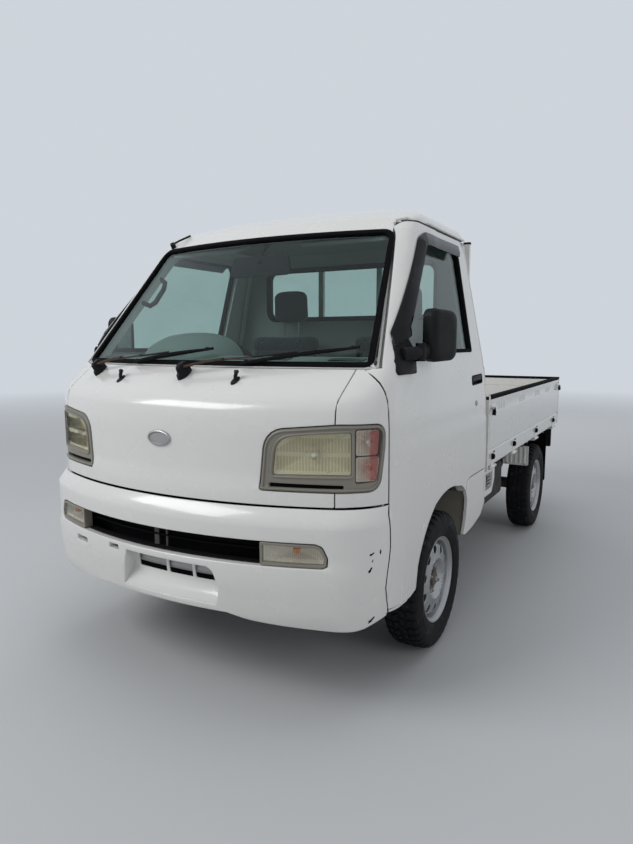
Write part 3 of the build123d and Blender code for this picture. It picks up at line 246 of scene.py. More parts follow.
BED = finish_of("bed_paint", (0.6, 0.6, 0.58), 0.5, vary=0.06, patches=7.0, stain=(RUST, 7.0, 0.64, 0.3),
    dust=(EARTH, 0.9, 0.45))
PLATE = finish_of("plate_white", (0.72, 0.72, 0.7), 0.4, vary=0.03, dust=(EARTH, 0.7, 0.25))
EXHAUST = finish_of("exhaust", (0.16, 0.15, 0.14), 0.55, metal=0.6, vary=0.2,
    stain=(RUST, 12.0, 0.45, 0.85))
MAT = finish_of("floor_cover", (0.045, 0.046, 0.047), 0.75, vary=0.15, grain=200.0, bump=0.4,
    dust=(EARTH, 1.2, 0.3))
DASH_TRIM = finish_of("dash_trim", (0.3, 0.33, 0.32), 0.6, vary=0.06, grain=600.0, bump=0.3, shine=0.3)
GRIP = finish_of("steering_grip", (0.02, 0.021, 0.023), 0.42, vary=0.2, grain=900.0, bump=0.25, shine=0.35)
SEAT_CLOTH = finish_of("seat_cloth", (0.055, 0.062, 0.066), 0.85, vary=0.12, patches=9.0, grain=1500.0,
    bump=0.6, stretch=(1, 1, 2), sheen=0.25, shine=0.2)


# Mesh tools
# GRID is the longest run between the points of a panel or line, unless a piece asks for another
GRID = 0.03
TINY = 1e-6


class Shape:
    """Vertices and faces on the way to one piece, with a material index for each face."""

    def __init__(self):
        self.points = []
        self.faces = []
        self.paints = []

    def add(self, points, faces, paint=0):
        first = len(self.points)
        self.points.extend(Vector(point) for point in points)
        for number, face in enumerate(faces):
            self.faces.append([first + corner for corner in face])
            self.paints.append(paint if isinstance(paint, int) else paint[number])

    def mirrored(self):
        """The same shape on the other side."""
        other = Shape()
        faces = [list(reversed(face)) for face in self.faces]
        other.add([(-p.x, p.y, p.z) for p in self.points], faces, self.paints)
        return other

    def with_mirror(self):
        """Both sides in one shape."""
        other = self.mirrored()
        self.add(other.points, other.faces, other.paints)
        return self

    def cap(self, count, paint=0):
        """One face over the last points."""
        self.faces.append([len(self.points) - count + k for k in range(count)])
        self.paints.append(paint)

    def handed(self, side):
        """The shape itself on the left, and its mirror image on the right."""
        return self if side > 0 else self.mirrored()


def placed(name, data):
    """A new object in the scene."""
    thing = bpy.data.objects.new(name, data)
    bpy.context.scene.collection.objects.link(thing)
    return thing


def smooth(mesh):
    mesh.polygons.foreach_set("use_smooth", [True] * len(mesh.polygons))


def make(name, shape, materials, slot=None, *replaces, body="root", sharp=42.0):
    """One piece from a shape, moved into the frame, smooth but for its sharp edges."""
    mesh = bpy.data.meshes.new(name)
    mesh.from_pydata([tuple(point) for point in shape.points], [], shape.faces)
    mesh.transform(Matrix.Translation((0, AXLE_Y, 0)))
    for material in materials:
        mesh.materials.append(material)
    mesh.polygons.foreach_set("material_index", shape.paints)
    smooth(mesh)
    mesh.set_sharp_from_angle(angle=radians(sharp))
    mesh.update()
    piece = placed(name, mesh)
    piece.modifiers.new("normals", "WEIGHTED_NORMAL").keep_sharp = True
    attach(piece, body)
    if replaces:
        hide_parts(*replaces)
    return piece


def rect(a0, b0, a1, b1, radius=0.0):
    """Corners of a rectangle, each with the same radius."""
    return [(a0, b0, radius), (a1, b0, radius), (a1, b1, radius), (a0, b1, radius)]


def rounded(corners, steps=5):
    """A closed outline through (a, b) or (a, b, radius) corners, with an arc at each radius."""
    outline = []
    count = len(corners)
    for number, corner in enumerate(corners):
        here = Vector(corner[:2])
        radius = corner[2] if len(corner) > 2 else 0.0
        before = Vector(corners[number - 1][:2]) - here
        after = Vector(corners[(number + 1) % count][:2]) - here
        half = before.angle(after, pi) / 2
        if radius == 0 or half > 1.55:
            outline.append(here)
            continue
        reach = min(radius / tan(half), 0.48 * before.length, 0.48 * after.length)
        arc = reach * tan(half)
        middle = here + (before.normalized() + after.normalized()).normalized() * (reach / cos(half))
        start = here + before.normalized() * reach - middle
        end = here + after.normalized() * reach - middle
        first = atan2(start.y, start.x)
        turn = (atan2(end.y, end.x) - first + pi) % (2 * pi) - pi
        for step in range(steps + 1):
            angle = first + turn * step / steps
            outline.append(middle + Vector((cos(angle), sin(angle))) * arc)
    return outline


def arc_through(start, via, end, steps=8):
    """Points of the circle through three points, from the first to the last."""
    (ax, ay), (bx, by), (cx, cy) = start, via, end
    d = 2 * (ax * (by - cy) + bx * (cy - ay) + cx * (ay - by))
    sa, sb, sc = ax * ax + ay * ay, bx * bx + by * by, cx * cx + cy * cy
    middle = Vector(((sa * (by - cy) + sb * (cy - ay) + sc * (ay - by)) / d,
        (sa * (cx - bx) + sb * (ax - cx) + sc * (bx - ax)) / d))
    first = atan2(ay - middle.y, ax - middle.x)
    mid = (atan2(by - middle.y, bx - middle.x) - first) % (2 * pi)
    turn = (atan2(cy - middle.y, cx - middle.x) - first) % (2 * pi)
    if mid > turn:
        turn -= 2 * pi
    radius = (Vector(start) - middle).length
    return [middle + radius * Vector((cos(first + turn * k / steps), sin(first + turn * k / steps)))
        for k in range(steps + 1)]


def dense(loop, step, closed=True):
    """The same line with points added so that no run is longer than a step."""
    out = []
    count = len(loop)
    for number in range(count if closed else count - 1):
        start, end = Vector(loop[number]), Vector(loop[(number + 1) % count])
        runs = max(1, ceil((end - start).length / step))
        if (end - start).length > TINY:
            out.extend(start.lerp(end, k / runs) for k in range(runs))
    if not closed:
        out.append(Vector(loop[-1]))
    return out


def area_of(loop):
    return sum(a.x * b.y - b.x * a.y for a, b in zip(loop, loop[1:] + loop[:1])) / 2


def outward(loop):
    """The direction out of the material at each point of a loop that has the material on its left."""
    normals = []
    for number, here in enumerate(loop):
        before = (here - loop[number - 1]).normalized()
        after = (loop[(number + 1) % len(loop)] - here).normalized()
        normal = Vector((before.y + after.y, -before.x - after.x))
        normal = normal.normalized() if normal.length > TINY else Vector((before.y, -before.x))
        normals.append(normal / max(0.5, normal.dot(Vector((before.y, -before.x)))))
    return normals


def inside(points, loop):
    """For each point, True if it's inside the loop."""
    x, y = points[:, 0][:, None], points[:, 1][:, None]
    a = np.array(loop)
    b = np.roll(a, -1, axis=0)
    crosses = (a[:, 1] > y) != (b[:, 1] > y)
    drop = np.where(b[:, 1] == a[:, 1], 1e-12, b[:, 1] - a[:, 1])
    at = a[:, 0] + (y - a[:, 1]) * (b[:, 0] - a[:, 0]) / drop
    return (crosses & (x < at)).sum(axis=1) % 2 == 1


def joined(loops):
    """The points of all the loops, and the edges between them."""
    points, edges = [], []
    for loop in loops:
        first = len(points)
        points.extend(Vector(point) for point in loop)
        edges.extend((first + k, first + (k + 1) % len(loop)) for k in range(len(loop)))
    return points, edges


def between(points, loops):
    """For each point, True if it's inside the first loop and outside the others."""
    keep = inside(points, loops[0])
    for loop in loops[1:]:
        keep &= ~inside(points, loop)
    return keep


def middles(points, faces):
    return np.array([sum((points[c] for c in face), Vector((0, 0))) / len(face) for face in faces])


def panel(shape, surface, outline, holes=(), depth=0.02, edge=0.002, grid=GRID, paint=0, back=None,
    lift=0.0):
    """A plate that follows a surface, with rolled edges, holes and its own thickness."""
    loops = []
    for number, loop in enumerate([outline, *holes]):
        loop = dense([Vector(point) for point in loop], grid)
        if (area_of(loop) > 0) != (number == 0):
            loop.reverse()
        loops.append(loop)
    normals = [outward(loop) for loop in loops]
    inset = [[p - n * edge for p, n in zip(loop, out)] for loop, out in zip(loops, normals)]
    flat, edges = joined(inset)
    rim = np.array(flat)
    low, high = rim.min(axis=0), rim.max(axis=0)
    mesh_points = np.stack(np.meshgrid(np.arange(low[0] + grid / 2, high[0], grid),
        np.arange(low[1] + grid / 2, high[1], grid)), -1).reshape(-1, 2)
    mesh_points = mesh_points[between(mesh_points, inset)]
    if len(mesh_points):
        apart = np.sqrt(((mesh_points[:, None, :] - rim[None]) ** 2).sum(-1)).min(axis=1)
        mesh_points = mesh_points[apart > 0.45 * grid]
    flat += [Vector(point) for point in mesh_points]
    result = delaunay_2d_cdt(flat, edges, [], 0, 1e-7)
    source = [ids[0] if ids else -1 for ids in result[3]]
    keep = between(middles(result[0], result[2]), inset)
    triangles = [[source[c] for c in face] for face, kept in zip(result[2], keep) if kept]
    triangles = [face for face in triangles if min(face) >= 0 and len(set(face)) == 3]
    for face in triangles:
        if area_of([flat[c] for c in face]) < 0:
            face.reverse()
    shape.add([surface(p.x, p.y, lift) for p in flat], triangles, paint)
    start = len(shape.points) - len(flat)
    deep = [surface(p.x, p.y, lift - depth) for loop in loops for p in loop]
    deep += [surface(p.x, p.y, lift - depth) for p in flat[len(deep):]]
    shape.add(deep, [list(reversed(face)) for face in triangles], paint if back is None else back)
    start_deep = len(shape.points) - len(deep)
    first = 0
    for loop, out in zip(loops, normals):
        count = len(loop)
        rings = [[start + first + k for k in range(count)]]
        for share_out, share_down in ((0.29, 0.29), (0.0, 1.0)):
            rings.append([len(shape.points) + k for k in range(count)])
            shape.points.extend(surface(*(p - n * edge * share_out), lift - edge * share_down)
                for p, n in zip(loop, out))
        rings.append([start_deep + first + k for k in range(count)])
        for one, two in zip(rings[:-1], rings[1:]):
            for k in range(count):
                after = (k + 1) % count
                shape.faces.append([one[k], two[k], two[after], one[after]])
                shape.paints.append(paint)
        first += count


def cut(outline, tools):
    """An outline less the parts inside other loops: its outer loop first, then its holes."""
    loops = [outline, *tools]
    flat, _, faces = delaunay_2d_cdt(*joined(loops), [], 0, TINY)[:3]
    keep = between(middles(flat, faces), loops)
    sides = set()
    for face, kept in zip(faces, keep):
        if kept:
            turned = list(face) if area_of([flat[c] for c in face]) > 0 else list(reversed(face))
            sides.update(zip(turned, turned[1:] + turned[:1]))
    border = {a: b for a, b in sides if (b, a) not in sides}
    found = []
    while border:
        start, here = border.popitem()
        line = [flat[start]]
        while here != start:
            if (flat[here] - line[-1]).length > 0.0006:
                line.append(flat[here])
            here = border.pop(here)
        found.append(line)
    return sorted(found, key=area_of, reverse=True)


def trim(shape, surface, outline, profile, paint=0, closed=True, grid=GRID, slim=0.0):
    """A moulding along a line on a surface: its profile is (inset, height) points, around its section.

    It is slimmer by the share slim where the line runs level.
    """
    loop = dense([Vector(point) for point in outline], grid, closed)
    if closed and area_of(loop) < 0:
        loop.reverse()
    normals = outward(loop)
    if not closed:
        normals[0] = (loop[1] - loop[0]).normalized().yx * Vector((1, -1))
        normals[-1] = (loop[-1] - loop[-2]).normalized().yx * Vector((1, -1))
    rows = [[surface(*(p - n * inset * (1 - slim * abs(n.y))), height) for inset, height in profile]
        for p, n in zip(loop, normals)]
    loft(shape, rows, paint, ring=closed, caps=not closed)


def loft(shape, rows, paint=0, ring=False, caps=True, closed=True):
    """Faces between rows of points: each row is closed on itself, and with ring so are the rows."""
    count = len(rows[0])
    points = [Vector(point) for row in rows for point in row]
    faces = []
    for r in range(len(rows) if ring else len(rows) - 1):
        a, b = r * count, (r + 1) % len(rows) * count
        for k in range(count if closed else count - 1):
            n = (k + 1) % count
            faces.append([a + k, a + n, b + n, b + k])
    if caps and not ring and closed:
        faces.append(list(range(count - 1, -1, -1)))
        faces.append([len(points) - count + k for k in range(count)])
    if closed and (caps or ring) and volume_of(points, faces) < 0:
        faces = [face[::-1] for face in faces]
    shape.add(points, faces, paint)


def volume_of(points, faces):
    """The volume inside closed faces, negative where they face inwards."""
    return sum(points[face[0]].dot(points[b].cross(points[c]))
        for face in faces for b, c in zip(face[1:-1], face[2:])) / 6


def box(shape, low, high, paint=0):
    """A block between two corners."""
    (x0, y0, z0), (x1, y1, z1) = low, high
    x0, x1 = min(x0, x1), max(x0, x1)
    loft(shape, [[(x0, y0, z), (x1, y0, z), (x1, y1, z), (x0, y1, z)] for z in (z0, z1)], paint)


def ring_of(radius, sides):
    turns = [2 * pi * k / sides for k in range(sides)]
    return [(radius * cos(t), radius * sin(t)) for t in turns]


def circle(radius, sides, a=0.0, b=0.0):
    return [Vector((a + x, b + y)) for x, y in ring_of(radius, sides)]


def oval(wide, high, sides=12):
    """An oval section for a bar."""
    return [(wide * a, high * b) for a, b in ring_of(1.0, sides)]


def tube(shape, path, section, sides=10, paint=0):
    """A bar along a line of points; its section is a loop of points, or the radius of a round one."""
    path = [Vector(point) for point in path]
    if isinstance(section, float):
        section = ring_of(section, sides)
    way = (path[1] - path[0]).normalized()
    across = way.orthogonal().normalized()
    if abs(way.z) < 0.9:
        across = way.cross(Vector((0, 0, 1))).normalized()
    rows = []
    for number, here in enumerate(path):
        before = (here - path[number - 1]).normalized() if number else way
        after = (path[number + 1] - here).normalized() if number + 1 < len(path) else before
        along = (before + after).normalized()
        across = (across - along * across.dot(along)).normalized()
        up = along.cross(across)
        rows.append([here + across * a + up * b for a, b in section])
    loft(shape, rows, paint)


def lathe(shape, profile, centre, axis="x", steps=48, paint=0, closed=False):
    """A profile of (radius, along) points turned about an axis; paint may be one index for each band."""
    centre = Vector(centre)
    turned = {
        "x": lambda r, a, t: (a, r * cos(t), r * sin(t)),
        "y": lambda r, a, t: (r * sin(t), a, r * cos(t)),
        "z": lambda r, a, t: (r * cos(t), r * sin(t), a),
    }[axis]
    rows = [[centre + Vector(turned(radius, along, 2 * pi * k / steps)) for k in range(steps)]
        for radius, along in profile]
    bands = len(rows) if closed else len(rows) - 1
    for band in range(bands):
        index = paint if isinstance(paint, int) else paint[band]
        loft(shape, [rows[band], rows[(band + 1) % len(rows)]], index, caps=False)


def flat_surface(origin, along, up):
    """A plane with two directions in it; the third number is the height above it."""
    origin, along, up = Vector(origin), Vector(along), Vector(up)
    above = along.cross(up)
    return lambda a, b, height=0.0: origin + along * a + up * b + above * height


# Directions of a flat surface that faces back, to the left or up
BACK = ((-1, 0, 0), (0, 0, 1))
LEFT = ((0, 1, 0), (0, 0, 1))
UP = ((1, 0, 0), (0, 1, 0))


# Cab surface
def eased(value, low, high):
    share = min(1.0, max(0.0, (value - low) / (high - low)))
    return share * share * (3 - 2 * share)


def row_at(table, height):
    """A section's values at a height, between two rows of its table."""
    height = min(max(height, table[0][0]), table[-1][0])
    for low, high in zip(table[:-1], table[1:]):
        if height <= high[0]:
            share = (height - low[0]) / (high[0] - low[0])
            return [a + (b - a) * share for a, b in zip(low[1:], high[1:])]


class Form:
    """A wrapped surface: a table of sections, found by the distance round from the middle of the front."""

    def __init__(self, table, rounding, relief):
        self.table = table
        self.rounding = rounding
        self.relief = relief
        self.known = {}

    def section(self, z):
        """At a height: half width, bow radius and half turn, corner radius, start of the side, front."""
        key = round(z, 4)
        if key not in self.known:
            samples = [row_at(self.table, z + self.rounding * k / 4) for k in range(-4, 5)]
            half, corner_x, corner_front, front = [sum(column) / 9 for column in zip(*samples)]
            sag = corner_front - front
            bow = (corner_x ** 2 + sag ** 2) / (2 * sag)
            turn = asin(corner_x / bow)
            radius = (half - corner_x) / (1 - sin(turn))
            side = corner_front + radius * cos(turn)
            self.known[key] = (half, bow, turn, radius, side, front)
        return self.known[key]

    def from_front(self, x, z):
        """Distance round at a place of the front view."""
        half, bow, turn, radius = self.section(z)[:4]
        if abs(x) <= bow * sin(turn):
            return bow * asin(x / bow)
        lean = asin(min(1.0, (abs(x) - half + radius) / radius))
        return copysign(bow * turn + radius * (lean - turn), x)

    def from_side(self, y, z):
        """Distance round at a place of the left side view."""
        bow, turn, radius, side = self.section(z)[1:5]
        if y >= side:
            return bow * turn + radius * (pi / 2 - turn) + y - side
        return bow * turn + radius * (acos(min(1.0, (side - y) / radius)) - turn)

    def flat_point(self, q, z):
        half, bow, turn, radius, side, front = self.section(z)
        s = abs(q)
        hand = copysign(1.0, q)
        if s < bow * turn:
            return Vector((hand * bow * sin(s / bow), front + bow - bow * cos(s / bow), z))
        s -= bow * turn
        corner = radius * (pi / 2 - turn)
        if s < corner:
            lean = turn + s / radius
            return Vector((hand * (half - radius + radius * sin(lean)), side - radius * cos(lean), z))
        s -= corner
        straight = CAB_REAR - REAR_CORNER - side
        if s < straight:
            return Vector((hand * half, side + s, z))
        s -= straight
        if s < REAR_CORNER * pi / 2:
            lean = s / REAR_CORNER
            return Vector((hand * (half - REAR_CORNER + REAR_CORNER * cos(lean)),
                CAB_REAR - REAR_CORNER + REAR_CORNER * sin(lean), z))
        s -= REAR_CORNER * pi / 2
        return Vector((hand * (half - REAR_CORNER - s), CAB_REAR, z))

    def at_front(self, x, z, height=0.0):
        """The surface point at a place of the front view."""
        return self(self.from_front(x, z), z, height)

    def __call__(self, q, z, height=0.0):
        """The surface point at a distance round and a height, raised above the surface."""
        here = self.flat_point(q, z)
        height += self.relief(q, z)
        if abs(height) < TINY:
            return here
        step = 0.002
        round_way = self.flat_point(q + step, z) - self.flat_point(q - step, z)
        up_way = self.flat_point(q, z + step) - self.flat_point(q, z - step)
        return here + round_way.cross(up_way).normalized() * height


def cab_relief(q, z):
    """Pressed lines: a ledge low on the front, a belt step and a soft line along the sides."""
    ledge = 0.007 * (1 - eased(z, 0.741, 0.75)) * (1 - eased(abs(q), 0.6, 0.68))
    belt = 0.005 * (1 - eased(z, 1.071, 1.08)) * eased(abs(q), 0.86, 0.9)
    line = 0.003 * eased(z, 0.852, 0.862) * eased(abs(q), 0.82, 0.86)
    return ledge + belt - line


def bumper_relief(q, z):
    """A step along the bumper below its lamps."""
    return 0.006 * (1 - eased(z, 0.5, 0.512)) * (1 - eased(abs(q), 0.66, 0.74))


CAB = Form(CAB_SECTIONS, CAB_ROUNDING, cab_relief)
BUMPER = Form(BUMPER_SECTIONS, BUMPER_ROUNDING, bumper_relief)


def seen_from_front(form, corners, grid=GRID):
    """An outline of the front view, laid on a form."""
    return [Vector((form.from_front(p.x, p.y), p.y)) for p in dense(rounded(corners), grid)]


def seen_from_side(form, corners, grid=GRID, closed=True):
    """An outline or line of the left side view, laid on a form."""
    return [Vector((form.from_side(p.x, p.y), p.y)) for p in dense(rounded(corners), grid, closed)]


def flipped(loop):
    return [Vector((-p.x, p.y)) for p in loop]


def both_sides(line):
    """A line up one side, and its mirror image back down the other."""
    return line + flipped(reversed(line))


# Cab outlines: y and z in the left side view, x and z in the front view, with a corner radius
ARCH_ARCS = (
    ((-0.288, 0.379), (-0.215, 0.503), (-0.106, 0.593)),
    ((-0.106, 0.593), (0.03, 0.622), (0.17, 0.608)),
    ((0.17, 0.608), (0.245, 0.586), (0.284, 0.5525)),
)
ARCH_REAR = (
    ((0.284, 0.5525), (0.3, 0.52), (0.301, 0.495)),
    ((0.301, 0.495), (0.293, 0.437), (0.268, 0.379)),
)
BELT_CURVE = arc_through((-0.476, 1.1085), (-0.504, 1.0965), (-0.513, 1.066))
BELT_CURVE_AHEAD = arc_through((-0.4805, 1.104), (-0.508, 1.0925), (-0.518, 1.063))
DOOR_FRONT = (
    (-0.513, 0.338, 0.008), (-0.437, 0.325, 0.03), (-0.345, 0.32, 0.03), (-0.289, 0.33, 0.012),
)
DOOR_REAR = (
    (0.279, 0.596, 0.006), (0.299, 0.611, 0.012), (0.335, 0.617, 0.03), (0.563, 0.617, 0.012),
    (0.563, 1.584, 0.04), (0.523, 1.634, 0.03), (-0.056, 1.634, 0.04), (-0.09, 1.612, 0.03),
)
QUARTER_LOW = (
    (0.2965, 0.371, 0.01), (0.398, 0.379, 0.03), (0.524, 0.402, 0.05), (0.586, 0.453, 0.04),
)
QUARTER_FRONT = (
    (0.284, 0.592, 0.006), (0.303, 0.606, 0.012), (0.337, 0.612, 0.03), (0.568, 0.612, 0.012),
    (0.568, 1.586, 0.04), (0.527, 1.6385, 0.03),
)
WINDOW = (
    (-0.398, 1.15, 0.012), (-0.366, 1.222, 0.03), (-0.032, 1.564, 0.05), (0.028, 1.588, 0.05),
    (0.42, 1.59, 0.03), (0.452, 1.56, 0.03), (0.412, 1.15, 0.012),
)
WINDSHIELD = ((-0.641, 1.111, 0.02), (0.641, 1.111, 0.02), (0.551, 1.597, 0.05), (-0.551, 1.597, 0.05))
PILLAR_FRONT = ((-0.486, 1.107), (-0.094, 1.615), (-0.0585, 1.6385))
PILLAR_BACK = 0.045
REAR_WINDOW = ((-0.47, 1.305, 0.05), (0.47, 1.305, 0.05), (0.47, 1.565, 0.05), (-0.47, 1.565, 0.05))
FRONT_SEAM_X = 0.593
# thickness, rolled edge and inner paint of a sheet of the cab; every piece that uses it paints the inner
# faces near black, as painted shade
SHEET = {"depth": 0.014, "edge": 0.003, "back": 1}


def arch_points(arcs):
    points = []
    for arc in arcs:
        points.extend(arc_through(*arc)[:-1])
    return points + [Vector(arcs[-1][2])]


def shrunk(loop, inset):
    """A loop moved in from its edge, or out with a negative inset."""
    loop = list(loop)
    if area_of(loop) < 0:
        loop.reverse()
    return [p - n * inset for p, n in zip(loop, outward(loop))]


LAMP = ((0.374, 0.734, 0.01), (0.392, 0.9215, 0.068), (0.62, 0.9405, 0.2), (0.779, 0.94, 0.035),
    (0.776, 0.866, 0.1), (0.757, 0.734, 0.045))
MAIN_LENS = ((0.414, 0.782, 0.008), (0.427, 0.897, 0.055), (0.525, 0.9085, 0.1), (0.661, 0.917, 0.008),
    (0.663, 0.785, 0.008))
SIDE_LENS = ((0.675, 0.76, 0.006), (0.751, 0.764, 0.02), (0.768, 0.912, 0.04), (0.754, 0.929, 0.03),
    (0.673, 0.927, 0.006))
RED_EDGE = ((0.724, 0.768, 0.004), (0.747, 0.769, 0.01), (0.761, 0.908, 0.02), (0.751, 0.922, 0.01),
    (0.724, 0.922, 0.004))
LAMP_SLOT = ((0.404, 0.7435, 0.005), (0.638, 0.7415, 0.005), (0.638, 0.7545, 0.005), (0.404, 0.7565, 0.005))


def pad(shape, surface, a0, b0, a1, b1, radius=0.01, height=0.003, paint=0, edge=0.0025, grid=GRID):
    """A raised or pressed patch with rounded corners on a surface."""
    panel(shape, surface, rounded(rect(a0, b0, a1, b1, radius), 3), depth=height + 0.001, edge=edge,
        grid=grid, paint=paint, lift=height)


def button(shape, surface, a, b, profile, paint=0, steps=20):
    """A round knob on a surface: its profile is (radius, height) points from its foot to its middle."""
    rows = [[surface(a + x, b + y, height) for x, y in ring_of(radius, steps)]
        for radius, height in profile]
    loft(shape, rows, paint, caps=False)
    shape.cap(steps, paint)


def bolt(shape, surface, a, b, radius, height, paint=0):
    """A hexagon head on its washer."""
    button(shape, surface, a, b, [(radius * 1.35, -0.001), (radius * 1.35, 0.0015), (radius * 1.05, 0.002)],
        paint, 16)
    button(shape, surface, a, b, [(radius, 0.0), (radius, height * 0.8), (radius * 0.82, height)], paint, 6)


def make_front_panels():
    """The front panel between the headlamps, and the rounded corner panels outside its seams, with
    near-black painted shade on their inner faces and on a sheet behind them.
    """
    lamp = shrunk(rounded(LAMP), -0.0025)
    front, corners, shade_sheet = Shape(), Shape(), Shape()
    low, high = BUMPER_SEAM + 0.0015, BELT_SEAM
    outline = seen_from_front(CAB, rect(-FRONT_SEAM_X, low, FRONT_SEAM_X, high, 0.004))
    outer, *inner = cut(outline, [lamp, flipped(lamp)])
    panel(front, CAB, outer, inner, **SHEET)
    make("front_skin", front, [PAINT, BLACK_AND_SHADE], "white_paint", "front_panel")
    side = seen_from_side(CAB, [(-0.518, low)] + BELT_CURVE_AHEAD[::-1], 0.02, closed=False)
    seam = FRONT_SEAM_X + 0.003
    inner_edge = [(CAB.from_front(seam, z), z) for z in (high, 1.06, 1.02, 0.98, 0.94, 0.85, 0.76, low)]
    outer, *inner = cut(dense(side + inner_edge, 0.03), [lamp])
    panel(corners, CAB, outer, inner, **SHEET)
    make("corner_skin", corners.with_mirror(), [PAINT, BLACK_AND_SHADE], "white_paint", "corner_panels")
    # A near-black sheet behind the front panels: painted shade in the space behind them.
    panel(shade_sheet, CAB, rounded(rect(-0.86, 0.5, 0.86, 1.1)), depth=0.004, grid=0.06, lift=-0.055)
    make("front_shade_sheet", shade_sheet, [BLACK_AND_SHADE])


def make_windshield():
    """Windshield in its black rubber, and the white frame round it."""
    shape, rubber, glass = Shape(), Shape(), Shape()
    opening = seen_from_front(CAB, WINDSHIELD)
    panel(shape, CAB, both_sides(seen_from_side(CAB, PILLAR_FRONT, closed=False)), [opening], depth=0.028,
        edge=0.003, back=1)
    make("windshield_frame", shape, [PAINT, LINING], "white_paint", "cab_body")
    profile = [(-0.003, -0.004), (-0.003, 0.003), (0.001, 0.005), (0.011, 0.0055), (0.014, 0.004),
        (0.016, 0.005), (0.019, 0.004), (0.021, -0.003), (0.021, -0.012), (0.002, -0.014)]
    trim(rubber, CAB, opening, profile, slim=0.35)
    make("windshield_rubber", rubber, [RUBBER], "black_plastic")
    panel(glass, CAB, shrunk(opening, 0.008), depth=0.005, edge=0.001, lift=-0.004)
    make("windshield_glass", glass, [GLASS], "glass", "windshield")


def back_edge(z):
    """Distance round the cab's side to where its back wall begins."""
    return CAB.from_side(CAB_REAR, z) - REAR_CORNER * (2 - pi / 2) + PILLAR_BACK


def make_quarters():
    """The cab's sides behind the doors, with the wheel arch's rear edge, round to the back."""
    side, front = [[(CAB.from_side(y, z), z, radius) for y, z, radius in corners]
        for corners in (QUARTER_LOW, QUARTER_FRONT[::-1])]
    back = [(back_edge(z), z) for z in np.linspace(0.47, ROOF_EDGE, 14)]
    up = [(CAB.from_side(p.x, p.y), p.y) for p in arch_points(ARCH_REAR)]
    front[2:2] = [(CAB.from_side(QUARTER_FRONT[3][0], z), z) for z in np.linspace(1.52, 0.65, 30)]
    shape = Shape()
    panel(shape, CAB, rounded(side + back + front + up), **SHEET)
    # The inner faces of the quarters are near-black painted shade.
    make("rear_quarters", shape.with_mirror(), [PAINT, BLACK_AND_SHADE], "white_paint")


def make_wheelhouses():
    """Black liners over the front wheels, with a rolled lip along the arch."""
    shape = Shape()
    line = arch_points(ARCH_ARCS + ARCH_REAR)
    grown = [p + n * 0.008 for p, n in zip(line, outward(line[::-1])[::-1])]
    split = len(arch_points(ARCH_ARCS)) - 1
    for part, outside, paint in ((grown[:split + 1], 0.664, 0), (grown[split:], 0.711, 1)):
        loft(shape, [[(x, p.x, p.y) for p in part] for x in (outside, 0.56, 0.47, 0.4)], paint,
            closed=False)
        loft(shape, [[(x, p.x, p.y + 0.004) for p in part] for x in (0.4, outside)], paint, closed=False)
    make("wheelhouses", shape.with_mirror(), [UNDER, BEZEL])


HANDLE = ((0.366, 1.006, 0.01), (0.522, 1.01, 0.01), (0.522, 1.05, 0.012), (0.366, 1.046, 0.012))
GRIP_PLATE = ((0.374, 1.02, 0.006), (0.514, 1.024, 0.006), (0.514, 1.047, 0.01), (0.374, 1.043, 0.01))
VISOR = ((0.44, 1.591), (0.028, 1.589, 0.05), (-0.034, 1.565, 0.05), (-0.372, 1.222, 0.02), (-0.388, 1.18))
DOOR_JAMB = rounded(list(DOOR_REAR) + BELT_CURVE + list(DOOR_FRONT))[14:]


